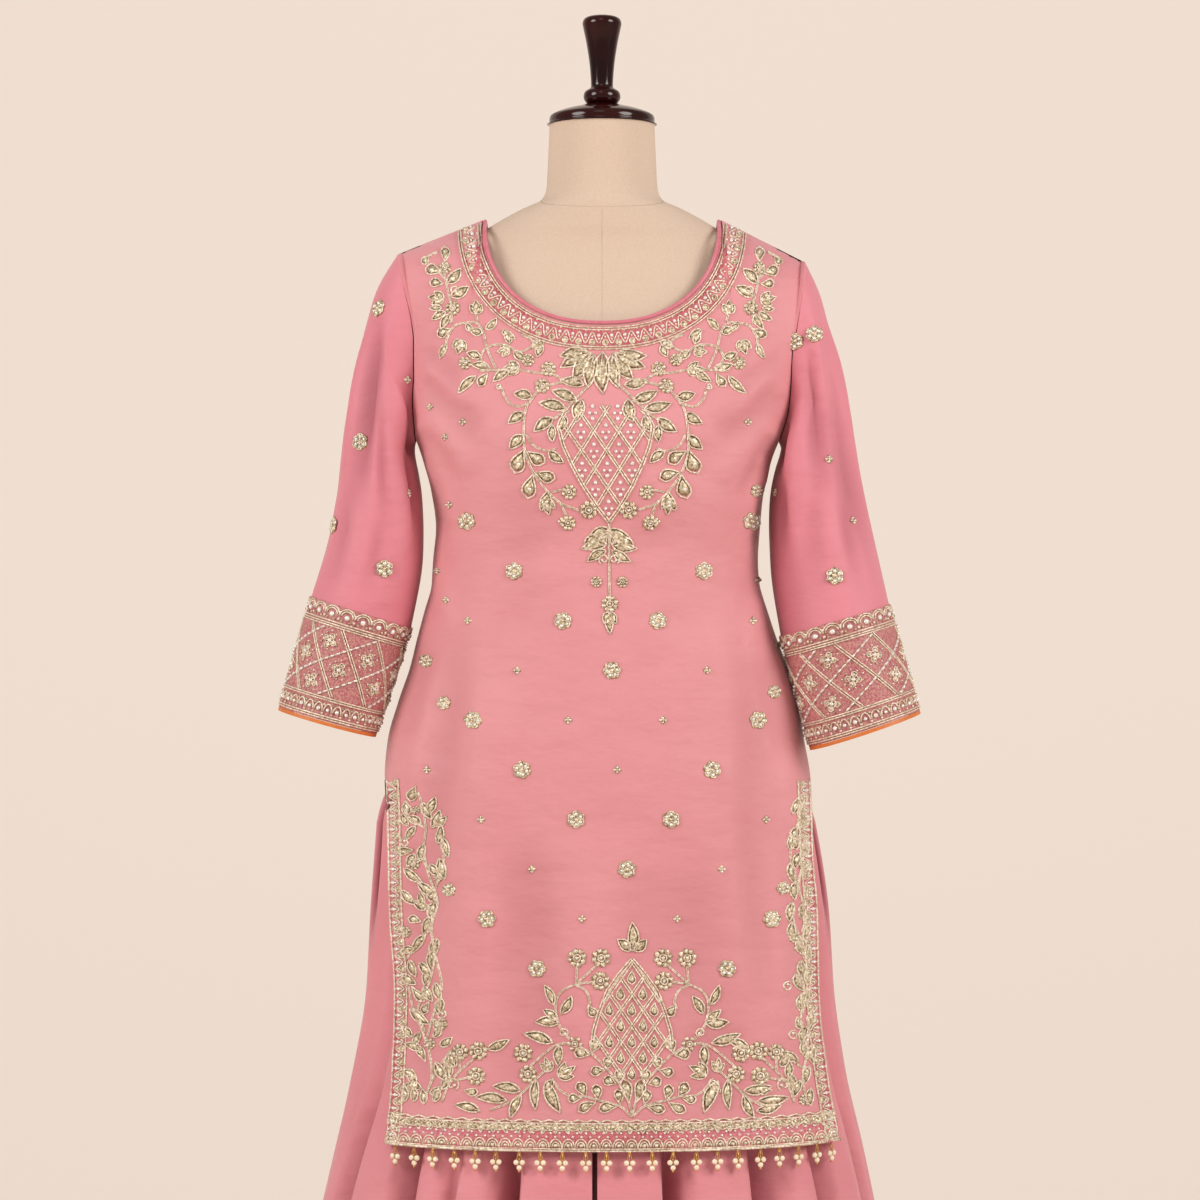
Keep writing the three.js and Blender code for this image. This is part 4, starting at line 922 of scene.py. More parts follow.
def smooth_path(points, step):
    """A curve through the given places, with points a step apart."""
    points = np.asarray(points, float)
    if len(points) < 3:
        count = max(2, int(np.linalg.norm(points[-1] - points[0]) / step) + 1)
        return mix(points[0], points[-1], np.linspace(0, 1, count)[:, None])
    padded = np.concatenate([[2 * points[0] - points[1]], points, [2 * points[-1] - points[-2]]])
    line = []
    for k in range(1, len(padded) - 2):
        p0, p1, p2, p3 = padded[k - 1 : k + 3]
        count = max(2, int(np.linalg.norm(p2 - p1) / step))
        for t in np.arange(count) / count:
            line.append(0.5 * (2 * p1 + (p2 - p0) * t + (2 * p0 - 5 * p1 + 4 * p2 - p3) * t * t
                               + (3 * p1 - p0 - 3 * p2 + p3) * t**3))
    line.append(points[-1])
    return np.array(line)


def offset(line, distance):
    """A line moved sideways, to the right of its run."""
    along = np.gradient(line, axis=0)
    along /= np.maximum(np.linalg.norm(along, axis=1, keepdims=True), 1e-9)
    return line + np.column_stack([along[:, 1], -along[:, 0]]) * distance


def evenly(line, spacing):
    """Places a fixed distance apart on a line, and the line's heading at each."""
    steps = np.linalg.norm(np.diff(line, axis=0), axis=1)
    run = np.concatenate([[0], np.cumsum(steps)])
    count = max(1, round(run[-1] / spacing))
    at = (np.arange(count) + 0.5) * run[-1] / count
    places = np.column_stack([np.interp(at, run, line[:, k]) for k in (0, 1)])
    ahead = np.column_stack([np.interp(at + 1, run, line[:, k]) for k in (0, 1)])
    behind = np.column_stack([np.interp(at - 1, run, line[:, k]) for k in (0, 1)])
    delta = ahead - behind
    return places, np.degrees(np.arctan2(delta[:, 0], delta[:, 1]))


def ribbon(layout, line, inner, outer, height=0.35):
    """A flat strip between two offsets of a line."""
    a, b = offset(line, inner), offset(line, outer)
    n = len(line)
    points = np.concatenate([np.column_stack([a, np.full(n, height)]),
                             np.column_stack([b, np.full(n, height)]),
                             np.column_stack([a, np.full(n, -0.2)]),
                             np.column_stack([b, np.full(n, -0.2)])])
    faces = []
    for k in range(n - 1):
        faces.append([k, k + 1, n + k + 1, n + k])
        faces.append([2 * n + k, 3 * n + k, 3 * n + k + 1, 2 * n + k + 1])
        faces.append([k, 2 * n + k, 2 * n + k + 1, k + 1])
        faces.append([n + k, n + k + 1, 3 * n + k + 1, 3 * n + k])
    faces.append([0, n, 3 * n, 2 * n])
    faces.append([n - 1, 3 * n - 1, 4 * n - 1, 2 * n - 1])
    layout.add(points, faces)


# ------------------------------------------------------------------ wrapping on the panels
def seen(places, side):
    """Places in the layout's flat frame: as the camera sees them, or as seen from behind."""
    places = np.asarray(places, float)
    scale = 1 - side * places[..., 1] / VIEW_DISTANCE
    return np.stack([-side * places[..., 0] / scale,
                     VIEW_HEIGHT + (places[..., 2] - VIEW_HEIGHT) / scale], -1)


def on_panel(rows, side):
    """A wrap of the flat layout on a panel, whose outer face is sampled every 2 mm along the view."""
    height, columns = rows.shape[:2]
    faces = grid_faces(height, columns).tolist()
    tree = BVHTree.FromPolygons(rows.reshape(-1, 3).tolist(), faces)
    flat_x, flat_z = np.arange(-270, 271, 2.0), np.arange(480, 1441, 2.0)
    eye = Vector((0, side * VIEW_DISTANCE, VIEW_HEIGHT))
    depth = np.full((len(flat_z), len(flat_x)), np.nan)
    for i, z in enumerate(flat_z):
        for j, x in enumerate(flat_x):
            hit = tree.ray_cast(eye, Vector((-side * x, 0, z)) - eye)[0]
            if hit is not None:
                depth[i, j] = hit[1]
    known = ~np.isnan(depth)
    top = np.array([flat_z[column].max() if column.any() else 0 for column in known.T])
    top = np.where(top > 0, top, top[top > 0].min())
    for row in depth:
        known = ~np.isnan(row)
        if known.any():
            row[:] = np.interp(flat_x, flat_x[known], row[known])
    known = ~np.isnan(depth[:, 0])
    for j in range(depth.shape[1]):
        depth[:, j] = np.interp(flat_z, flat_z[known], depth[known, j])
    scale = 1 - side * depth / VIEW_DISTANCE
    face = np.stack([-side * flat_x[None, :] * scale, depth,
                     VIEW_HEIGHT + (flat_z[:, None] - VIEW_HEIGHT) * scale], -1)
    normal = np.cross(np.gradient(face, axis=0), np.gradient(face, axis=1))
    normal *= np.sign(normal[..., 1:2]) * side
    normal /= np.linalg.norm(normal, axis=-1, keepdims=True)
    # at the very rim the face turns away: the work keeps standing up towards the viewer
    normal[..., 1] = side * np.maximum(np.abs(normal[..., 1]), 0.35)

    def wrap(points):
        u = np.clip((points[:, 0] - flat_x[0]) / 2, 0, len(flat_x) - 1.001)
        below_seam = np.minimum(points[:, 1], np.interp(points[:, 0], flat_x, top) - 0.5)
        v = np.clip((below_seam - flat_z[0]) / 2, 0, len(flat_z) - 1.001)
        i, j = v.astype(int), u.astype(int)
        s, t = (v - i)[:, None], (u - j)[:, None]

        def blend(grid):
            return mix(mix(grid[i, j], grid[i, j + 1], t), mix(grid[i + 1, j], grid[i + 1, j + 1], t), s)

        upright = blend(normal)
        upright /= np.linalg.norm(upright, axis=1, keepdims=True)
        return blend(face) + upright * (points[:, 2:] + 0.1)

    return wrap


def panel_lines(rows, side):
    """A panel's neckline, hem and slit edges in the flat layout. Slits run down."""
    share = np.abs(np.linspace(-1, 1, rows.shape[1]))
    low = rows[:, 0, 2] < SLIT_Z - 1
    return {
        "neck": seen(rows[0, share <= NECK_SHARE * 0.985], side),
        "hem": seen(rows[-1], side),
        -1: seen(rows[low, 0], side),
        1: seen(rows[low, -1], side),
    }


def centre(z):
    """The embroidery's middle line, which drifts as the panel hangs."""
    return np.interp(z, [450, 700, 729, 778, 830, 876, 929, 985, 1079, 1130, 1320],
                     [30, 30, 27.5, 25, 21.5, 15, 13.5, 9.5, 7, 7, 0])


def lattice(work, middle, half_width, phase, top, foot, cell_x, cell_z, filled):
    """A diamond lattice of double cords, clipped by a half width given by height. Each cell holds
    three stones, or a filled drop."""
    for lean in (1, -1):
        for k in range(-8, 9):
            z = np.arange(foot, top, 1.5)
            x = middle(z) + k * cell_x + lean * (z - phase) * cell_x / cell_z
            inside = np.abs(x - middle(z)) < half_width(z) - 0.5
            run = []
            for place, keep in zip(np.column_stack([x, z]), inside):
                if keep:
                    run.append(place)
                elif run:
                    double_cord(work, run)
                    run = []
            double_cord(work, run)
    for row in range(-2, int((phase - foot) / (cell_z / 2)) + 1):
        z = phase - row * cell_z / 2
        for k in range(-6, 7):
            x = float(middle(z)) + (k + 0.5 * ((row + 1) % 2)) * cell_x
            if foot < z < top and abs(x - float(middle(z))) < half_width(z) - 7:
                if filled:
                    work.leaf(x, z + 0.24 * cell_z, 180, 0.44 * cell_z, 0.36 * cell_x, True)
                for dx, dz, radius in ((0, 5.5, 2.3), (-3.0, -1.4, 1.9), (3.0, -1.4, 1.9), (0, -6.8, 2.3)):
                    if not filled:
                        work.stone.bead(x + dx, z + dz, radius, 2.2, 6)


def double_cord(work, run, apart=1.15, width=0.85):
    if len(run) < 3:
        return
    line = np.array(run)
    work.gold.cord(offset(line, apart), width, 1.4)
    work.gold.cord(offset(line, -apart), width, 1.4)


def heart(work, middle, half, z):
    """The double outline of a lattice."""
    for hand in (-1, 1):
        line = np.column_stack([middle(z) + hand * half(z), z])
        work.gold.cord(offset(line, 1.2), 0.9, 1.5)
        work.gold.cord(offset(line, -1.2), 0.9, 1.5)


def both_hands(work, middle, leaves, buds, blossoms, stems, curls):
    """Lays out a half motif as given (x to the wearer's right is negative) and mirrored."""
    for hand in (1, -1):
        for path in stems:
            work.stem([(middle(z) + hand * x, z) for x, z in path])
        for x, z, angle, length, width, rounded in leaves:
            work.leaf(middle(z) + hand * x, z, hand * angle, length, width, rounded)
        for x, z, angle, length, width in buds:
            work.bud(middle(z) + hand * x, z, hand * angle, length, width)
        for x, z, radius in blossoms:
            work.blossom(middle(z) + hand * x, z, radius)
        for x, z, angle, radius, side in curls:
            work.curl(middle(z) + hand * x, z, hand * angle, radius, hand * side)


# ------------------------------------------------------------------ the front's embroidery
BAND_WIDTH = 25.0


def even_line(line, step=3.0):
    """The same line with its points a fixed distance apart."""
    run = np.concatenate([[0], np.cumsum(np.linalg.norm(np.diff(line, axis=0), axis=1))])
    at = np.linspace(0, run[-1], max(3, int(run[-1] / step)))
    return np.column_stack([np.interp(at, run, line[:, k]) for k in (0, 1)])


def aside(heading, reach):
    """A step to the right of a heading."""
    turn = math.radians(heading + 90)
    return reach * np.array([math.sin(turn), math.cos(turn)])


def worked_band(work, line, width, hand=1.0):
    """A dense band beside a line: double edge cords, a zigzag with stones, and hooded pads."""
    near, far = sorted((hand * 1.0, hand * width))
    ribbon(work.ground, line, near, far)
    wide = width > 20
    for at in (2.6, 4.8, width - 3.2, width - 0.8) if wide else (1.8, width - 0.8):
        work.gold.cord(offset(line, hand * at), 0.8, 1.8)
    inner, outer = (5.8, width - 4.8) if wide else (2.8, width - 2.0)
    middle, reach = (inner + outer) / 2, (outer - inner) / 2
    places, headings = evenly(offset(line, hand * middle), 6.6)
    zigzag = []
    for k, (place, heading) in enumerate(zip(places, headings)):
        side = hand * (1 if k % 2 else -1)
        zigzag.append(place + aside(heading, side * reach * 0.75))
        if side * hand > 0:
            work.stone.bead(*(place - aside(heading, side * 0.35 * reach)), 2.0, 2.7, 7)
            work.gold.bead(*(place - aside(heading, side * reach)), 1.2, 1.8, 6)
        else:
            pad = [place - aside(heading, side * 0.62 * reach)
                   + np.array([2.9 * math.cos(a), 2.9 * math.sin(a)])
                   for a in np.linspace(0, 2 * math.pi, 9)[:-1]]
            work.fill.pad(np.array(pad), 1.3)
            work.gold.cord(pad, 0.6, 1.6, closed=True)
        work.stone.bead(*(place + aside(heading, side * 0.15 * reach)), 1.2, 2.2, 6)
    work.gold.cord(smooth_path(zigzag, 2.5), 0.8, 1.5)


def neck_band(work, lines):
    worked_band(work, even_line(lines["neck"]), BAND_WIDTH)


# Half motifs, given on the +x side. Leaves: x, z, angle from up towards +x, length, width, drop?
YOKE_LEAVES = [
    (8, 1295, 168, 34, 13, False), (10, 1296, 142, 33, 14, False), (12, 1297, 116, 34, 14, False),
    (14, 1297, 96, 30, 12, False), (20, 1265, 80, 24, 10, False), (28, 1249, 68, 27, 11, False),
    (39, 1241, 78, 28, 11, False), (23, 1251, 168, 24, 12, False), (52, 1232, 125, 24, 11, False),
    (39, 1234, 160, 17, 9, False), (53, 1225, 180, 17, 8, False), (72, 1253, 80, 19, 10, False),
    (80, 1237, 122, 20, 10, False), (82, 1215, 135, 20, 11, False), (82, 1201, 160, 26, 15, True),
    (80, 1199, -123, 22, 13, True), (73, 1178, -107, 22, 12, True), (74, 1176, 168, 25, 14, True),
    (60, 1160, 175, 19, 13, True), (58, 1199, -128, 19, 9, False),
    (-2, 1120, 108, 24, 11, False), (4, 1118, 128, 26, 12, True), (2, 1106, 100, 26, 10, False),
    (3, 1100, 122, 22, 9, False), (1, 1118, 150, 16, 8, True),
]
YOKE_BUDS = [(62, 1152, 190, 17, 14), (84, 1281, 88, 16, 14)]
YOKE_BLOSSOMS = [(62, 1264, 8), (55, 1281, 8), (39, 1158, 8), (20, 1140, 9.5), (41, 1127, 8),
                 (13, 1068, 6)]
YOKE_STEMS = [
    [(10, 1270), (28, 1252), (40, 1240), (52, 1230)],
    [(20, 1272), (40, 1268), (62, 1262), (72, 1252), (80, 1237), (82, 1204), (76, 1182), (67, 1167),
     (56, 1154), (46, 1146), (30, 1140)],
    [(74, 1248), (88, 1243), (98, 1250), (102, 1261)],
    [(56, 1158), (46, 1160), (39, 1158)],
    [(50, 1150), (44, 1138), (41, 1127)],
    [(80, 1216), (72, 1204), (58, 1199), (50, 1202)],
    [(39, 1269), (52, 1276), (67, 1277), (85, 1280), (102, 1280), (124, 1279)],
]
YOKE_CURLS = [(102, 1262, 150, 3.2, -1), (8, 1086, 60, 5.5, -1)]

SHOULDER_LEAVES = [
    (126, 1274, 135, 25, 8, False), (114, 1277, 146, 16, 9, True), (93, 1280, 127, 20, 8, False),
    (112, 1282, 80, 19, 8, False), (121, 1292, 70, 15, 8, False), (88, 1299, -130, 15, 8, False),
    (92, 1306, 20, 14, 7, False), (100, 1320, -123, 16, 7, False), (116, 1320, -43, 16, 7, False),
    (134, 1321, -105, 15, 8, True), (136, 1326, 225, 11, 6, False), (151, 1321, 118, 15, 10, True),
    (155, 1306, 155, 16, 6, False), (151, 1353, -60, 21, 10, False), (155, 1366, -43, 21, 10, False),
    (158, 1366, 85, 14, 9, True), (160, 1377, 75, 17, 11, True), (157, 1388, 0, 15, 9, True),
    (172, 1394, 140, 11, 7, True), (152, 1336, 150, 18, 7, False), (156, 1338, 120, 16, 7, False),
    (160, 1342, 95, 12, 6, False), (70, 1302, -60, 14, 8, False), (60, 1306, 160, 14, 8, False),
]
SHOULDER_BUDS = [(140, 1310, 165, 15, 15), (126, 1336, 0, 14, 14), (158, 1350, 80, 16, 14),
                 (92, 1300, 100, 13, 12)]
SHOULDER_BLOSSOMS = [(137, 1287, 7), (149, 1342, 8), (157, 1382, 6.5), (74, 1290, 7)]
SHOULDER_STEMS = [
    [(106, 1281), (115, 1302), (119, 1319), (126, 1327), (136, 1327), (147, 1324), (154, 1313),
     (156, 1304)],
    [(151, 1326), (150, 1342), (154, 1360), (157, 1375), (157, 1388)],
    [(124, 1328), (126, 1337)],
    [(157, 1371), (164, 1379), (170, 1380)],
    [(114, 1281), (121, 1292), (114, 1303), (97, 1305), (84, 1298), (74, 1301), (68, 1306),
     (73, 1312), (81, 1315)],
    [(165, 1398), (176, 1392)],
]
SHOULDER_CURLS = [(62, 1308, 40, 5, 1), (146, 1355, -70, 5, 1)]

HEM_LEAVES = [
    (2, 699, 47, 17, 10, False), (71, 636, -31, 21, 9, False), (78, 645, 25, 22, 8, False),
    (73, 627, 87, 24, 10, False), (74, 630, 55, 18, 8, False), (44, 645, 215, 14, 9, True),
    (41, 597, -20, 15, 11, True), (42, 595, 80, 16, 11, True), (26, 580, -10, 14, 10, True),
    (27, 580, 100, 15, 10, True), (14, 566, -5, 15, 10, True), (16, 566, 70, 14, 10, True),
    (3, 546, 14, 26, 11, True), (34, 549, 10, 17, 10, True), (46, 553, 30, 17, 11, True),
    (36, 548, 118, 20, 10, True), (14, 544, 100, 20, 10, True), (12, 545, 12, 16, 9, True),
    (50, 552, 95, 14, 9, True),
    (79, 607, 72, 31, 10, False), (72, 605, 175, 21, 9, False), (111, 559, 80, 29, 10, False),
    (125, 549, 83, 32, 10, False), (111, 555, 155, 26, 9, False), (96, 571, 179, 31, 9, False),
    (86, 569, 204, 35, 12, False), (78, 570, 140, 16, 8, False),
]
HEM_BUDS = [(74, 574, -60, 20, 15), (84, 578, 10, 15, 11)]
HEM_BLOSSOMS = [(55, 692, 10), (31, 692, 10), (32, 669, 10), (109, 597, 10), (104, 576, 9.5)]
HEM_STEMS = [
    [(55, 684), (56, 666)], [(34, 686), (56, 666)], [(40, 668), (56, 666)],
    [(56, 666), (70, 659), (76, 647), (74, 629), (68, 617), (61, 610)],
    [(56, 665), (46, 659), (42, 648), (45, 641)],
    [(52, 603), (39, 595), (29, 585), (18, 573), (8, 559), (2, 543), (0, 533)],
    [(0, 533), (11, 543), (22, 547), (35, 550), (49, 554), (60, 553)],
    [(63, 607), (75, 605), (87, 597), (103, 583)],
    [(86, 580), (98, 569), (111, 556), (124, 547), (142, 540)],
    [(62, 554), (72, 560), (80, 572)],
]
HEM_CURLS = [(66, 613, -60, 5, 1)]
# The sprays that fill the corners of the hem, on the +x side of their own middle line.
CORNER_LEAVES = [
    (145, 601, -67, 24, 9, False), (152, 539, 76, 26, 9, False), (183, 572, 5, 18, 8, False),
    (176, 583, 30, 16, 8, False), (190, 560, -20, 20, 8, False), (168, 560, -100, 14, 8, True),
]
CORNER_BLOSSOMS = [(172, 598, 9), (154, 599, 10), (156, 574, 10)]
CORNER_STEMS = [[(190, 548), (184, 563), (174, 577), (160, 590), (154, 598)],
                [(180, 569), (166, 572), (158, 574)], [(172, 580), (172, 594)]]
CORNER_CURLS = [(176, 560, -60, 7, 1)]


def yoke(work):
    half = lambda z: np.interp(z, [1128, 1141, 1163, 1187, 1204, 1224, 1238, 1252],
                               [0, 10, 24, 36, 43, 47.5, 40, 12])
    lattice(work, centre, half, 1238, 1246, 1129, 25, 38, False)
    heart(work, centre, half, np.linspace(1128, 1240, 40))
    work.leaf(centre(1298), 1298, 180, 42, 17)
    both_hands(work, centre, YOKE_LEAVES, YOKE_BUDS, YOKE_BLOSSOMS, YOKE_STEMS, YOKE_CURLS)
    work.stem([(centre(z), z) for z in (1127, 1100, 1070, 1040)])
    work.blossom(centre(1046), 1046, 9)
    for angle, length in ((180, 22), (152, 13), (208, 13)):
        work.leaf(centre(1036), 1038, angle, length, 8)


def shoulders(work):
    both_hands(work, lambda z: 0.0, SHOULDER_LEAVES, SHOULDER_BUDS, SHOULDER_BLOSSOMS,
               SHOULDER_STEMS, SHOULDER_CURLS)


# Further motifs near the side seams: x, z, stone flower?
SIDE_MOTIFS = [
    (-153, 1145, False), (-165, 1079, False), (-156, 1050, False), (-176, 989, True),
    (-158, 947, True), (155, 1159, True), (156, 1070, False), (177, 1005, False), (172, 958, True),
    (-153, 760, True), (181, 762, True), (-172, 1243, False), (-157, 1213, False),
]


def scattered(work):
    """Small motifs on a staggered lattice: stone flowers and sprigs take turns."""
    for x, z, large in SIDE_MOTIFS:
        if large:
            work.flower(x, z, 6.6, 6, 15)
        else:
            work.sprig(x, z, 4.2)
    for j in range(-3, 10):
        z = 1079 - 49.7 * j
        for i in range(-4, 5):
            if (i + j) % 2 or z > 1235:
                continue
            x = float(centre(z)) + 47.5 * i
            on_yoke = (z > 1130 and abs(x - 5) < 112) or (z > 1030 and abs(x - 7) < 30)
            on_hem = z < 720 and (abs(x - 30) < 80 or (z < 660 and abs(x - 30) > 130))
            on_border = (z < 860 and abs(x - 12) > 160) or z < 620
            if on_yoke or on_hem or on_border or abs(x) > 180:
                continue
            if (abs(i) + j) % 4 == 2:
                work.flower(x, z, 8.6, 6, 12 * j)
            else:
                work.sprig(x, z, 4.6)





# The sprays beside the slit bands. Stems: places from the foot up. Leaves: x, z, angle, length,
# width, drop? Curls: x, z, angle, radius, hand.
SIDE_STEMS = [
    [(-178, 548), (-170, 572), (-172, 596), (-178, 616), (-188, 640), (-194, 668)],
    [(-174, 560), (-162, 584), (-150, 600)],
    [(-176, 606), (-168, 636), (-160, 664), (-166, 694), (-170, 722), (-164, 748), (-172, 772),
     (-180, 792), (-192, 784)],
    [(-170, 722), (-184, 706), (-196, 690)],
    [(-168, 734), (-182, 746), (-197, 756)],
    [(-164, 748), (-178, 762), (-190, 776)],
    [(-166, 762), (-158, 786), (-160, 812)],
    [(-172, 772), (-178, 800), (-176, 822), (-180, 846), (-184, 858)],
    [(-176, 822), (-190, 830), (-198, 842)],
    [(-166, 694), (-172, 668), (-184, 640), (-176, 618)],
    [(205, 546), (200, 572), (204, 600), (198, 630), (202, 660), (192, 676)],
    [(204, 600), (208, 640), (206, 680), (200, 708), (202, 738), (196, 764), (200, 792), (194, 816),
     (198, 838), (202, 856)],
    [(200, 708), (192, 724), (190, 742)],
    [(196, 764), (189, 784), (188, 800)],
    [(204, 580), (192, 588), (184, 600)],
]
SIDE_LEAVES = [
    (-186, 864, 200, 16, 10, True), (-180, 848, 150, 20, 8, False), (-176, 836, 30, 20, 9, False),
    (-170, 822, 25, 20, 9, False), (-168, 824, 55, 16, 8, False), (-180, 826, -65, 17, 8, False),
    (-196, 850, 170, 15, 9, True), (-186, 824, 215, 18, 7, False), (-200, 836, 150, 14, 7, False),
    (-178, 806, 190, 18, 8, False), (-164, 806, 10, 20, 8, False), (-158, 812, 165, 20, 8, False),
    (-188, 800, -100, 16, 8, True), (-186, 796, 215, 15, 8, False), (-162, 792, 165, 22, 9, False),
    (-172, 786, 140, 16, 8, False), (-198, 782, 128, 24, 8, False), (-184, 768, 125, 24, 9, False),
    (-168, 764, 190, 16, 8, True), (-200, 760, 138, 20, 8, False), (-188, 748, 110, 18, 9, False),
    (-182, 758, 160, 16, 7, False), (-166, 748, 200, 18, 9, False), (-170, 734, 205, 20, 8, False),
    (-180, 728, -75, 14, 8, True), (-176, 716, 215, 24, 8, False), (-188, 702, -110, 14, 7, False),
    (-164, 712, 195, 22, 9, False), (-170, 700, 180, 22, 8, False), (-192, 690, 160, 18, 8, False),
    (-182, 688, 140, 18, 8, False), (-200, 676, 125, 18, 8, False), (-172, 680, 200, 16, 8, False),
    (-166, 668, 165, 20, 8, False), (-190, 664, 140, 20, 8, True), (-178, 664, 150, 18, 8, False),
    (-160, 652, 190, 18, 9, False), (-172, 648, 210, 14, 8, True), (-192, 642, 130, 26, 9, False),
    (-168, 632, 150, 14, 8, True), (-182, 618, 200, 16, 7, False), (-168, 612, 30, 16, 7, False),
    (-190, 612, -40, 16, 7, False), (-162, 604, 55, 15, 8, False), (-180, 600, -70, 18, 8, False),
    (-176, 588, -30, 18, 8, True), (-166, 588, 150, 22, 9, False), (-192, 582, 160, 20, 8, False),
    (-186, 572, -60, 16, 8, False), (-156, 578, 10, 22, 8, False), (-180, 562, -80, 18, 8, False),
    (-192, 558, 10, 14, 7, False), (-198, 548, 5, 16, 7, False), (-188, 548, 0, 16, 7, False),
    (-178, 546, -5, 15, 7, False), (-168, 548, 20, 15, 7, False), (-172, 556, 60, 15, 7, False),
    (202, 858, 185, 18, 8, False), (196, 842, 150, 18, 8, False), (190, 836, 20, 18, 8, False),
    (206, 834, 210, 18, 8, False), (196, 824, 200, 18, 9, False), (190, 816, 165, 16, 9, True),
    (204, 812, 180, 18, 7, False), (188, 800, 0, 16, 8, False), (198, 798, 200, 18, 8, False),
    (188, 788, 170, 22, 8, False), (206, 790, 190, 18, 8, False), (192, 768, 180, 18, 8, False),
    (203, 768, 165, 18, 8, True), (190, 748, 190, 20, 8, False), (204, 748, 200, 18, 8, False),
    (189, 728, 175, 20, 8, False), (206, 728, 190, 20, 8, False), (194, 710, 150, 18, 8, False),
    (206, 706, 185, 20, 8, False), (192, 700, 30, 14, 8, True), (208, 684, 190, 20, 8, False),
    (198, 690, 170, 20, 8, False), (192, 676, 150, 20, 9, False), (206, 662, 195, 22, 8, False),
    (198, 656, 175, 20, 8, False), (210, 640, 185, 20, 8, False), (194, 634, 160, 14, 7, True),
    (204, 624, 200, 18, 8, False), (200, 610, 165, 20, 8, False), (210, 606, 180, 20, 8, False),
    (196, 588, -60, 20, 8, False), (206, 584, 190, 18, 8, False), (198, 570, 200, 18, 8, False),
    (208, 562, 180, 18, 8, False),
]
SIDE_CURLS = [(-194, 812, -60, 5, -1), (-158, 640, 120, 5, 1), (188, 668, -60, 5, -1),
              (192, 620, -80, 5, -1)]
SIDE_BLOSSOMS = [(-188, 786, 6.5), (-196, 718, 6), (-176, 656, 6), (-160, 626, 6), (-172, 606, 6),
                 (-164, 772, 5), (-186, 840, 4.5), (202, 784, 6), (192, 712, 5.5), (205, 728, 5),
                 (204, 648, 5.5), (190, 812, 5.5), (202, 550, 6)]


def hem_and_sides(work, lines):
    for hand in (-1, 1):
        worked_band(work, even_line(lines[hand]), 14.5, hand)
    for path in SIDE_STEMS:
        work.stem(path)
    for leaf in SIDE_LEAVES:
        work.leaf(*leaf)
    for blossom in SIDE_BLOSSOMS:
        work.blossom(*blossom)
    for curl in SIDE_CURLS:
        work.curl(*curl)
    hem_band(work, even_line(lines["hem"]))
    hem_motif(work)


def hem_band(work, hem):
    """From the edge up: piping, small scallops, beads on crimson, half flowers and a wavy cord."""
    up = lambda reach: offset(hem, -reach)
    ribbon(work.ground, hem, -30.0, -0.8)
    for reach in (1.0, 3.0, 28.5):
        work.gold.cord(up(reach), 1.0, 1.8)
    ripple = np.array([0, 1.1]) * np.sin(np.arange(len(hem))[:, None] * 1.3)
    work.gold.cord(up(31) + ripple, 1.0, 1.8)
    for k, (x, z) in enumerate(evenly(up(17.0), 4.4)[0]):
        work.stone.bead(x, z + (1.9 if k % 2 else -1.9), 1.45, 2.4, 6)
    for x, z in evenly(up(4.5), 12.6)[0]:
        for size, rise in ((6.0, 8.4), (3.8, 5.4)):
            arc = [(x + size * math.cos(a), z + rise * math.sin(a)) for a in np.linspace(0, math.pi, 8)]
            work.gold.cord(arc, 0.9, 1.7)
        work.fill.pad([(x + 3.0 * math.cos(a), z + 1.9 + 2.6 * math.sin(a))
                       for a in np.linspace(0, 2 * math.pi, 8)[:-1]], 1.6)
        work.stone.bead(x, z + 2.0, 1.4, 2.9, 6)
        work.fill.bead(x + 6.3, z + 0.6, 1.5, 2.0, 6)
    for x, z in evenly(up(28.0), 12.6)[0]:
        for lean in (-44, 0, 44):
            work.leaf(x, z, 180 + lean, 9.6, 5.0, vein=False)
        work.stone.bead(x, z - 5.2, 1.3, 2.9, 6)
        work.fill.bead(x + 6.3, z - 3.0, 1.7, 2.0, 6)


def hem_motif(work):
    middle = lambda z: 30.0 + 0.0 * np.asarray(z)
    half = lambda z: np.interp(z, [570, 585, 604, 619, 636, 659, 676, 691],
                               [12, 26, 40, 38.5, 33.5, 25, 13, 0])
    lattice(work, middle, half, 688, 690, 572, 22.5, 32, True)
    heart(work, middle, half, np.linspace(600, 691, 30))
    work.leaf(30, 699, 0, 29, 11)
    both_hands(work, middle, HEM_LEAVES, HEM_BUDS, HEM_BLOSSOMS, HEM_STEMS, HEM_CURLS)
    for hand in (-1, 1):
        work.blossom(30 + hand * 57, 606, 8, 6)
    corner = {-1: 30.0, 1: 2.0}
    for hand in (-1, 1):
        for path in CORNER_STEMS:
            work.stem([(corner[hand] + hand * x, z) for x, z in path])
        for x, z, angle, length, width, rounded in CORNER_LEAVES:
            work.leaf(corner[hand] + hand * x, z, hand * angle, length, width, rounded)
        for x, z, radius in CORNER_BLOSSOMS:
            work.blossom(corner[hand] + hand * x, z, radius)
        for x, z, angle, radius, side in CORNER_CURLS:
            work.curl(corner[hand] + hand * x, z, hand * angle, radius, hand * side)


def front_embroidery(rows):
    work = Work()
    lines = panel_lines(rows, -1)
    neck_band(work, lines)
    yoke(work)
    shoulders(work)
    scattered(work)
    hem_and_sides(work, lines)
    work.make("front", on_panel(rows, -1))


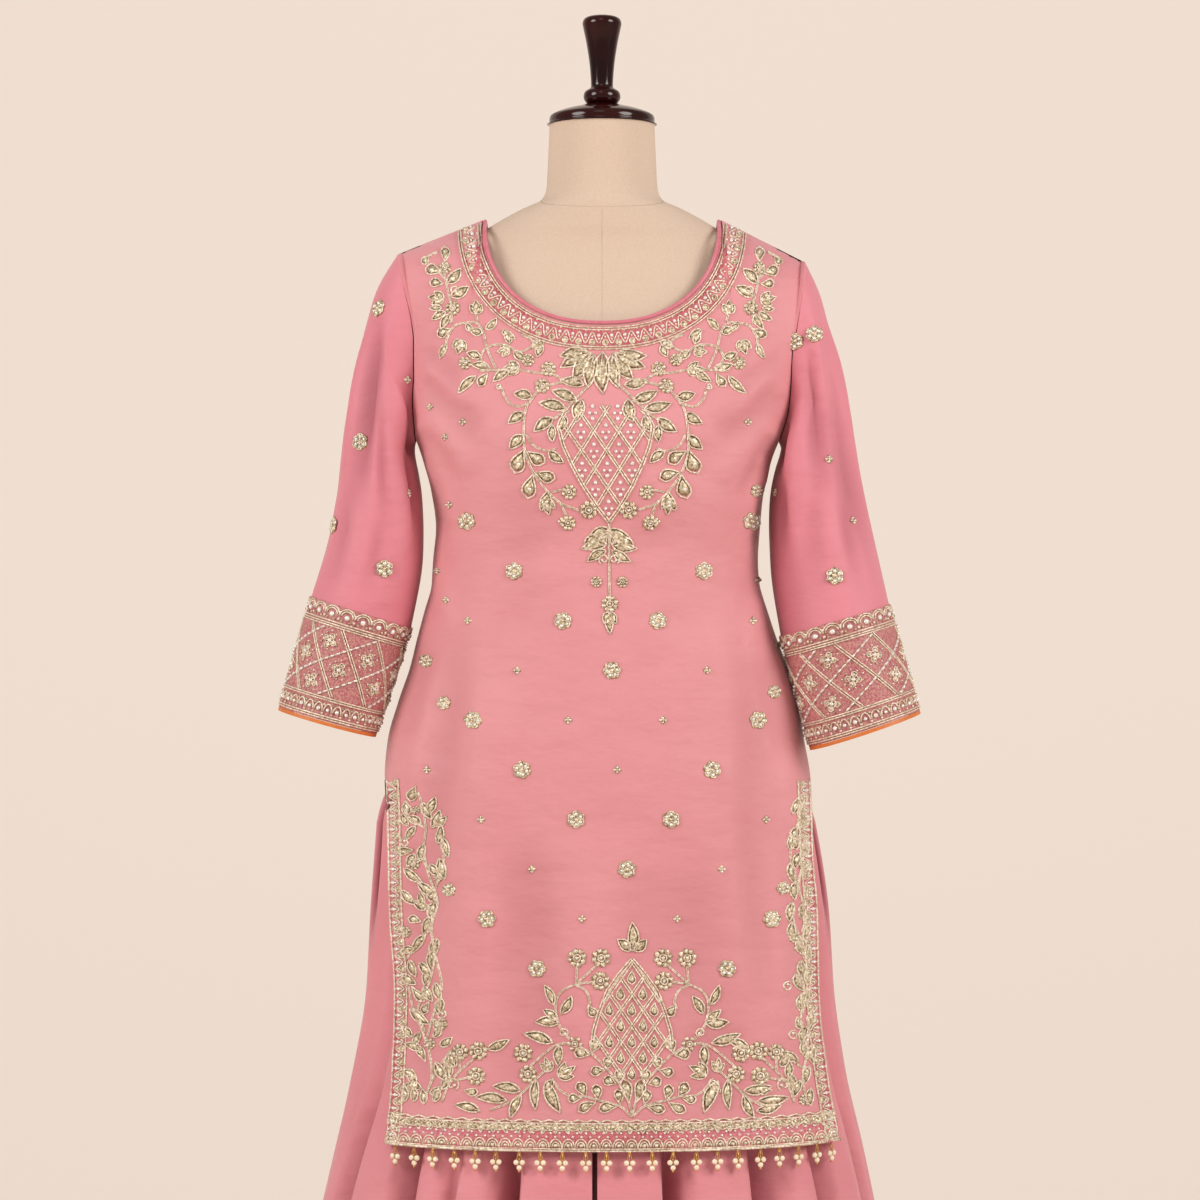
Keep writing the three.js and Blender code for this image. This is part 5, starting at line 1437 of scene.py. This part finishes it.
def back_embroidery(rows):
    """The hidden side: the same neck, slit and hem bands, and scattered motifs."""
    work = Work()
    lines = panel_lines(rows, 1)
    neck_band(work, lines)
    for hand in (-1, 1):
        worked_band(work, even_line(lines[hand]), 14.5, hand)
    hem_band(work, even_line(lines["hem"]))
    for j in range(-4, 10):
        for i in range(-3, 4):
            x, z = 47.5 * i, 1079 - 49.7 * j
            if (i + j) % 2 or not 560 < z < 1300:
                continue
            if (abs(i) + j) % 4 == 2:
                work.flower(x, z, 8.6)
            else:
                work.sprig(x, z, 4.6)
    work.make("back", on_panel(rows, 1))


# ------------------------------------------------------------------ sleeves' and cuffs' embroidery
def on_spot(rows, wraps, x, z, front=True):
    """A local wrap round the place of a grid that shows at x, z from the front."""
    normals = outward(rows, wraps)
    scale = 1 + rows[..., 1] / VIEW_DISTANCE
    seen_x = rows[..., 0] / scale
    seen_z = VIEW_HEIGHT + (rows[..., 2] - VIEW_HEIGHT) / scale
    miss = np.hypot(seen_x - x, seen_z - z) + np.where(normals[..., 1] < 0, 0, 1e6)
    i, j = np.unravel_index(np.argmin(miss), miss.shape)
    origin, normal = rows[i, j], normals[i, j]
    right = np.cross(normal, [0, 0, 1.0])
    right /= -np.linalg.norm(right)
    up = np.cross(right, normal)
    if up[2] < 0:
        up = -up

    def wrap(points):
        return (origin + points[:, :1] * right + points[:, 1:2] * up
                + (points[:, 2:] + 0.2) * normal)

    return wrap


SLEEVE_MOTIFS = {
    -1: [(-223, 1341, 1), (-241, 1209, 1), (-268, 1124, 1), (-219, 1081, 1), (-194, 1271, 0),
         (-194, 1157, 0)],
    1: [(213, 1317, 1), (175, 1311, 1), (227, 1189, 0), (232, 1075, 1), (174, 1158, 0), (250, 1130, 0)],
}


def sleeve_embroidery(sleeves):
    for at, owner in ((-1, "right"), (1, "left")):
        gold, fill, stone, pearl = Layout(), Layout(), Layout(), Layout()
        for x, z, big in SLEEVE_MOTIFS[at]:
            work = Work()
            if big:
                work.flower(0, 0, 8.5, 6)
            else:
                work.sprig(0, 0, 5)
            wrap = on_spot(sleeves[at], True, x, z)
            for source, target in ((work.gold, gold), (work.fill, fill), (work.stone, stone),
                                   (work.pearl, pearl)):
                for points, faces in zip(source.points, source.faces):
                    first = min(min(face) for face in faces)
                    target.add(wrap(points), [[k - first for k in face] for face in faces])
        keep = lambda points: points
        gold.wrapped("sleeve_gold_" + owner, GOLD, keep)
        fill.wrapped("sleeve_petals_" + owner, FILL, keep)
        stone.wrapped("sleeve_stones_" + owner, STONE, keep)
        pearl.wrapped("sleeve_beads_" + owner, PEARL, keep)


def cuff_scallops(work, length):
    """The cuff's top band: a double scalloped cord over large stones, down to a straight one."""
    for v in (16.5, 19.0, 21.2):
        work.gold.cord(across_cuff(length, v), 0.85, 1.7, closed=True)
    count = 20
    pitch = length / count
    for k in range(count):
        x = (k + 0.5) * pitch
        for size in (pitch / 2, pitch / 2 - 2.2):
            arc = [(x + size * math.cos(a), -9 + 0.95 * size * math.sin(a))
                   for a in np.linspace(0, math.pi, 9)]
            work.gold.cord(arc, 0.85, 1.8)
        work.stone.bead(x, -9.5, 3.0, 2.8, 6)
        work.gold.bead(x + pitch / 2, -12.6, 1.7, 2.0, 6)
        work.stone.bead(x + pitch / 2, -5.5, 1.3, 2.0, 6)
        work.fill.bead(x - 0.28 * pitch, -13.4, 1.3, 1.9, 6)
        work.fill.bead(x + 0.28 * pitch, -13.4, 1.3, 1.9, 6)


def across_cuff(length, v):
    return np.column_stack([np.linspace(0, length, 140)[:-1], np.full(139, -v)])


def cuff_lattice(work, length, top, foot):
    """Slanting cells: solid double cords one way, white bugle beads the other, a flower in each."""
    solid, dashed = 9, 6
    solid_pitch, dashed_pitch = length / solid, length / dashed
    high = foot - top
    solid_lean, dashed_lean = 46.0, -98.0
    t = np.linspace(0, 1, 30)
    for k in range(solid):
        line = np.column_stack([k * solid_pitch + solid_lean * t, -(top + high * t)])
        work.gold.cord(offset(line, 1.1), 0.7, 1.6)
        work.gold.cord(offset(line, -1.1), 0.7, 1.6)
    for k in range(dashed):
        line = np.column_stack([k * dashed_pitch + dashed_lean * t, -(top + high * t)])
        work.gold.cord(line, 0.6, 1.0)
        for place, heading in zip(*evenly(line, 6.4)):
            dash = work.turned([(0, -1.7), (0, 0), (0, 1.7)], *place, heading)
            work.stone.cord(dash, 1.15, 2.6)
    for k in range(-2, solid + 4):
        for m in range(-2, dashed + 4):
            a, b = (k + 0.5) * solid_pitch, (m + 0.5) * dashed_pitch
            share = (b - a) / (solid_lean - dashed_lean)
            x = a + solid_lean * share
            if 0.07 < share < 0.93 and 0 <= x < length:
                cuff_flower(work, x, -(top + high * share))


def cuff_flower(work, x, z):
    for angle in (20, 110, 200, 290):
        work.leaf(*work.turned([(0, 1.2)], x, z, angle)[0], angle, 6.4, 5.0, True)
    ring = work.turned([(4.6 * math.sin(a), 4.6 * math.cos(a)) for a in np.linspace(0, 2 * math.pi, 9)[:-1]],
                       x, z, 0)
    work.gold.cord(ring, 0.6, 2.2, closed=True)
    work.stone.bead(x, z, 2.2, 3.2, 6)
    for angle in (0, 72, 144, 216, 288):
        place = work.turned([(0, 10.2)], x, z, angle)[0]
        work.stone.bead(*place, 1.0, 1.7, 6)
        place = work.turned([(0, 8.8)], x, z, angle + 36)[0]
        work.fill.bead(*place, 1.2, 1.5, 6)


def cuff_border(work, length):
    """Down to the binding: small arches over stones between cords."""
    for v in (90.5, 92.6, 108.6, 110.8):
        work.gold.cord(across_cuff(length, v), 0.85, 1.7, closed=True)
    count = 34
    pitch = length / count
    for k in range(count):
        x = (k + 0.5) * pitch
        arc = [(x + 4.3 * math.cos(a), -104 + 8.0 * math.sin(a)) for a in np.linspace(0, math.pi, 8)]
        work.gold.cord(arc, 0.8, 1.7)
        work.stone.bead(x, -102.0, 2.0 + 0.5 * (k % 2), 2.7, 6)
        work.fill.bead(x + pitch / 2, -97.0, 1.5, 2.0, 6)
        work.gold.bead(x + pitch / 2, -106.0, 1.4, 1.8, 6)


def cuff_embroidery():
    length, depth = 330.0, 113.0
    for at, owner in ((-1, "right"), (1, "left")):
        work = Work()
        cuff_scallops(work, length)
        cuff_lattice(work, length, 22.5, 89.5)
        cuff_border(work, length)
        turns = sleeve_turns(360)
        top_ring = sleeve_ring(SLEEVE[at][-1], turns, 0 * turns)
        foot_ring = sleeve_ring(CUFF_FOOT[at], turns, 0 * turns)

        def wrap(points):
            u = (points[:, 0] / length * 360) % 360
            share = -points[:, 1] / depth
            k = np.floor(u).astype(int) % 360
            t = (u - np.floor(u))[:, None]
            a = mix(top_ring[k], top_ring[(k + 1) % 360], t)
            b = mix(foot_ring[k], foot_ring[(k + 1) % 360], t)
            place = mix(a, b, share[:, None])
            along = b - a
            round_it = mix(top_ring[(k + 2) % 360] - top_ring[k - 2], foot_ring[(k + 2) % 360]
                           - foot_ring[k - 2], share[:, None])
            normal = np.cross(along, round_it)
            normal /= np.linalg.norm(normal, axis=1, keepdims=True)
            return place + normal * (points[:, 2] + 0.8)[:, None]

        work.make("cuff_" + owner, wrap)


# ------------------------------------------------------------------ piping and pearl drops
def neck_piping():
    turn = np.radians(np.linspace(-90, 90, 90))
    loops = []
    for side in (-1, 1):
        x = (NECK_HALF - 2.2) * bent(np.sin(turn), 2.3)
        z = NECK_Z + 0.5 - (NECK_DROP[side] - 2.2) * bent(np.cos(turn), 2.3)
        z = np.minimum(z, NECK_Z - 1.5)
        y = kameez_depth(x * 119 / 116.8, z, side) * np.minimum(1, np.abs(np.cos(turn)) * 12)
        line = np.column_stack([x, y, z])
        loops.append(line if side < 0 else line[::-1])
    path = np.concatenate([loops[0], loops[1][1:-1]])
    along = np.roll(path, -1, 0) - np.roll(path, 1, 0)
    along /= np.linalg.norm(along, axis=1, keepdims=True)
    out = path - np.array([0, 0, NECK_Z - 40.0])
    out -= along * (out * along).sum(1, keepdims=True)
    out /= np.linalg.norm(out, axis=1, keepdims=True)
    across = np.cross(along, out)
    rings = [path + 2.0 * (out * math.cos(a) + across * math.sin(a))
             for a in np.linspace(0, 2 * math.pi, 11)[:-1]]
    rows = np.stack(rings, 1)
    faces = []
    count, sides = rows.shape[:2]
    for i in range(count):
        for k in range(sides):
            n, m = (i + 1) % count, (k + 1) % sides
            faces.append([i * sides + k, i * sides + m, n * sides + m, n * sides + k])
    piece = make_object("neck_piping_satin", rows.reshape(-1, 3), faces, PIPING)
    declare(piece, "piping_satin", "neck_piping")


def ball(radius, sides=10, rings=6):
    """A unit of points and faces for one pearl."""
    points, faces = [(0, 0, radius)], []
    for i in range(1, rings):
        a = math.pi * i / rings
        for k in range(sides):
            b = 2 * math.pi * k / sides
            points.append((radius * math.sin(a) * math.cos(b), radius * math.sin(a) * math.sin(b),
                           radius * math.cos(a)))
    points.append((0, 0, -radius))
    last = len(points) - 1
    for k in range(sides):
        m = (k + 1) % sides
        faces.append([0, 1 + k, 1 + m])
        faces.append([last, last - sides + m, last - sides + k])
        for i in range(rings - 2):
            a, b = 1 + i * sides, 1 + (i + 1) * sides
            faces.append([a + k, b + k, b + m, a + m])
    return np.array(points), faces


def pearl_drops():
    """Each drop: a thread loop, two pearls side by side, one pearl below and its cap."""
    pearls, gold = Layout(), Layout()
    hem = body_point(np.linspace(-0.985, 0.985, 400), HEM_Z, -1)
    run = np.concatenate([[0], np.cumsum(np.linalg.norm(np.diff(hem, axis=0), axis=1))])
    count = 22
    for k in range(count):
        at = run[-1] * (k + 0.5) / count
        place = np.array([np.interp(at, run, hem[:, c]) for c in range(3)])
        near = np.array([np.interp(at + 2, run, hem[:, c]) for c in range(3)])
        along = (near - place) / np.linalg.norm(near - place)
        sway = 0.8 * math.sin(2.3 * k)
        place = place + along * sway
        x, y, z = place + np.array([0, -0.6, 0])
        thread = Layout()
        for hand in (-1, 1):
            line = [(hand * 0.4, 0.5), (hand * 1.6, -4), (hand * 2.6, -8.5)]
            thread.cord(smooth_path(line, 1.5), 0.55, 0.9)
        thread.cord([(0, 0), (0, -7), (0, -13)], 0.45, 0.8)
        for points, faces in zip(thread.points, thread.faces):
            first = min(min(face) for face in faces)
            placed = place + points[:, :1] * along + points[:, 1:2] * np.array([0, 0, 1.0])
            placed = placed + points[:, 2:] * np.array([0, -1.0, 0]) + np.array([0, -0.6, 0])
            gold.add(placed, [[n - first for n in face] for face in faces])
        for shift, drop, radius in ((-3.0, 10.4, 2.75), (3.0, 10.4, 2.75), (0.0, 15.4, 2.75)):
            points, faces = ball(radius)
            pearls.add(points + place + along * shift - np.array([0, 0.6, drop]), faces)
        for drop, radius in ((18.6, 1.3), (7.4, 1.0)):
            points, faces = ball(radius, 8, 5)
            gold.add(points + place - np.array([0, 0.6, drop]), faces)
    keep = lambda points: points
    gold.wrapped("fringe_gold", BRASS, keep)
    piece = pearls.wrapped("fringe_pearls", PEARL, keep)
    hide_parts("bead_fringe")


# ------------------------------------------------------------------ form's seams
FORM = table(
    "z half front back round",
    (1524.7, 52.5, 52.5, 52.5, 2), (1490, 54, 54, 54, 2), (1462, 55.5, 56, 55, 2),
    (1450, 60, 58, 57, 2), (1440, 81, 60, 58, 1.85), (1430, 100, 60, 58, 1.7),
    (1421, 115, 60, 57, 1.65), (1408, 136, 59, 56, 1.65), (1394, 158, 60, 56, 1.7),
    (1375, 180, 65, 60, 1.85), (1350, 196, 72, 68, 2.05), (1318, 200, 81, 76, 2.25),
    (1280, 199, 95, 83, 2.3), (1240, 188, 108, 87, 2.3), (1208, 170, 117, 86, 2.3),
    (1160, 152, 114, 80, 2.3), (1122, 143, 104, 74, 2.3), (1090, 140, 97, 71, 2.3),
    (1065, 141, 96, 72, 2.3), (1040, 146, 98, 76, 2.3), (1000, 156, 102, 84, 2.3),
    (950, 168, 106, 94, 2.3), (900, 175, 108, 100, 2.3), (850, 176, 107, 100, 2.3),
    (818, 172, 103, 96, 2.3), (804, 164, 96, 89, 2.3), (800, 152, 86, 79, 2.3),
)
PLATE_X = 180.0
CAP_FOOT = 1525.0
CAP_PROFILE = [(0, 0), (51, 0), (52.5, 1.5), (52.5, 7), (49.5, 10.5), (38, 15), (24, 18.5), (16, 20.5),
               (0, 20.5)]
FINIAL_PROFILE = [(0, 0), (13, 0), (17.5, 3.5), (18.5, 8), (17, 12.5), (12, 16), (11, 20), (12.5, 40),
                  (15.5, 60), (18.8, 76), (19.5, 81), (17.5, 85.5), (11, 88), (0, 88.5)]


def form_point(angle, z):
    """The form's cotton surface: angle 0 faces the viewer."""
    exponent = between(FORM, "round", z)
    x = np.sign(np.sin(angle)) * np.abs(np.sin(angle)) ** (2 / exponent) * between(FORM, "half", z)
    reach = np.where(np.cos(angle) > 0, between(FORM, "front", z), between(FORM, "back", z))
    y = -reach * np.sign(np.cos(angle)) * np.abs(np.cos(angle)) ** (2 / exponent)
    return stack(np.clip(x, -PLATE_X, PLATE_X), y, z)


def dress_form():
    z = np.concatenate([np.linspace(1524.7, 1462, 26), np.linspace(1460, 1380, 40),
                        np.linspace(1375, 810, 90), np.array([804, 800.0])])[:, None]
    angle = np.linspace(-np.pi, np.pi, 141)[None, :-1]
    rows = form_point(angle, z)
    height, columns = rows.shape[:2]
    faces = grid_faces(height, columns, True).tolist()
    faces.append(list(range(columns))[::-1])
    faces.append(list(range((height - 1) * columns, height * columns)))
    piece = make_object("form_cotton_body", rows.reshape(-1, 3), [face[::-1] for face in faces], COTTON)
    mark_flat_ends(piece)
    declare(piece, "form_cotton", "form_body")


def mark_flat_ends(piece):
    """The many-sided end faces stay flat, with a crisp rim."""
    for face in piece.data.polygons:
        if len(face.vertices) > 4:
            face.use_smooth = False


def turned_piece(name, profile, foot, material, slot, node, sides=72):
    """A turned part of the form, its profile rounded between the given radii and heights."""
    outline = smooth_path(profile, 1.5)
    outline[:, 0] = np.maximum(outline[:, 0], 0)
    outline = outline[1:-1]
    angle = 2 * np.pi * np.arange(sides) / sides
    rows = stack(outline[:, :1] * np.cos(angle), outline[:, :1] * np.sin(angle), foot + outline[:, 1:])
    count = len(outline)
    faces = grid_faces(count, sides, True, flip=True).tolist()
    faces.append(list(range(sides))[::-1])
    faces.append(list(range((count - 1) * sides, count * sides)))
    piece = make_object(name, rows.reshape(-1, 3), faces, material)
    mark_flat_ends(piece)
    declare(piece, slot, node)


def form_seams():
    """The fine stitched seams of the form's cotton: round the neck's foot, and down the middle."""
    seams = Layout()
    around = np.linspace(-np.pi, np.pi, 160)
    neck_z = 1452 - 15 * np.cos(around)
    neck = form_point(around, neck_z)
    front_z = np.linspace(1436, 830, 170)
    middle = form_point(0 * front_z, front_z)
    back = form_point(0 * front_z + np.pi, front_z)
    princess = [form_point(np.full(60, hand * 1.05), np.linspace(1405, 830, 60)) for hand in (-1, 1)]
    for line in [neck, middle, back] + princess:
        along = np.gradient(line, axis=0)
        along /= np.linalg.norm(along, axis=1, keepdims=True)
        out = line - np.column_stack([0 * line[:, 0], 0 * line[:, 0], line[:, 2]])
        out /= np.linalg.norm(out, axis=1, keepdims=True)
        across = np.cross(along, out)
        section = [(-0.45, -0.3), (0, 0.22), (0.45, -0.3)]
        points = np.stack([line + across * a + out * b for a, b in section], 1).reshape(-1, 3)
        n = len(line)
        faces = [[i * 3 + k, (i + 1) * 3 + k, (i + 1) * 3 + (k + 1) % 3, i * 3 + (k + 1) % 3]
                 for i in range(n - 1) for k in range(3)]
        faces += [[0, 1, 2], [(n - 1) * 3 + 2, (n - 1) * 3 + 1, (n - 1) * 3]]
        seams.add(points, faces)
    seams.wrapped("form_seams", SEAM, lambda points: points, "form_cotton")


SEAM = plain("seam_thread", (0.50, 0.38, 0.29), (0.46, 0.34, 0.26), 0.9, 400)


# ------------------------------------------------------------------ stage, light and camera
def make_stage():
    """A pale cream sweep; a little glow of its own keeps it even, as a lit studio wall is."""
    backdrop, principled = shader("stage_cream", (0.50, 0.42, 0.36), 0.95)
    principled.inputs["Emission Color"].default_value = (0.80, 0.715, 0.64, 1)
    nodes, links = backdrop.node_tree.nodes, backdrop.node_tree.links
    place = nodes.new("ShaderNodeTexCoord")
    parts = nodes.new("ShaderNodeSeparateXYZ")
    glow = nodes.new("ShaderNodeMapRange")
    glow.inputs["From Min"].default_value = 0.5
    glow.inputs["From Max"].default_value = 4.6
    glow.inputs["To Min"].default_value = 0.50
    glow.inputs["To Max"].default_value = 0.67
    links.new(place.outputs["Object"], parts.inputs["Vector"])
    links.new(parts.outputs["Y"], glow.inputs["Value"])
    links.new(glow.outputs["Result"], principled.inputs["Emission Strength"])
    width, front, back, top, curve = 9000.0, -6500.0, 5200.0, 8500.0, 3000.0
    line = [(front, 0.0)]
    for a in np.linspace(0, math.pi / 2, 16):
        line.append((back - curve + curve * math.sin(a), curve - curve * math.cos(a)))
    line.append((back, top))
    points, faces = [], []
    for y, z in line:
        points += [(-width, y, z - 0.5), (width, y, z - 0.5)]
    for k in range(len(line) - 1):
        faces.append([2 * k, 2 * k + 1, 2 * k + 3, 2 * k + 2])
    stage = make_object("studio_sweep", points, faces, backdrop)


def area_light(name, location, target, size, power, color):
    data = bpy.data.lights.new(name, "AREA")
    data.shape = "DISK"
    data.size = size
    data.energy = power
    data.color = color
    lamp = bpy.data.objects.new(name, data)
    bpy.context.scene.collection.objects.link(lamp)
    lamp.location = location
    aim = Vector(target) - Vector(location)
    lamp.rotation_euler = aim.to_track_quat("-Z", "Y").to_euler()


def make_light():
    """Two soft boxes at the sides and a weak one above the camera, in a dim room."""
    world = bpy.data.worlds.new("studio")
    bpy.context.scene.world = world
    world.use_nodes = True
    world.node_tree.nodes["Background"].inputs["Color"].default_value = (1.0, 0.93, 0.88, 1)
    world.node_tree.nodes["Background"].inputs["Strength"].default_value = 0.34
    warm = (1.0, 0.965, 0.93)
    area_light("left_box", (-2.6, -1.9, 2.5), (0, 0, 1.05), 1.7, 74, warm)
    area_light("right_box", (2.6, -1.9, 2.5), (0, 0, 1.05), 1.7, 78, warm)
    area_light("front_box", (-0.3, -2.6, 3.6), (0, 0, 1.0), 1.2, 6, warm)


def make_camera():
    data = bpy.data.cameras.new("camera")
    data.sensor_width = 36
    data.lens = 108
    camera = bpy.data.objects.new("camera", data)
    bpy.context.scene.collection.objects.link(camera)
    camera.location = (-0.002, -VIEW_DISTANCE / 1000, VIEW_HEIGHT / 1000)
    camera.rotation_euler = (math.pi / 2, 0, 0)
    bpy.context.scene.camera = camera
    bpy.context.scene.view_settings.view_transform = "Standard"


make_camera()
make_light()
make_stage()
finish_cad()
front_rows, back_rows = make_kameez()
sleeve_rows = make_sleeves()
make_sharara()
make_waistband()
neck_piping()
dress_form()
turned_piece("form_cap_wood", CAP_PROFILE, CAP_FOOT, LACQUER, "dark_lacquer", "form_neck_cap")
turned_piece("form_finial_wood", FINIAL_PROFILE, CAP_FOOT + 20.8, LACQUER, "dark_lacquer",
             "form_finial", 48)
form_seams()
front_embroidery(front_rows)
back_embroidery(back_rows)
sleeve_embroidery(sleeve_rows)
cuff_embroidery()
pearl_drops()
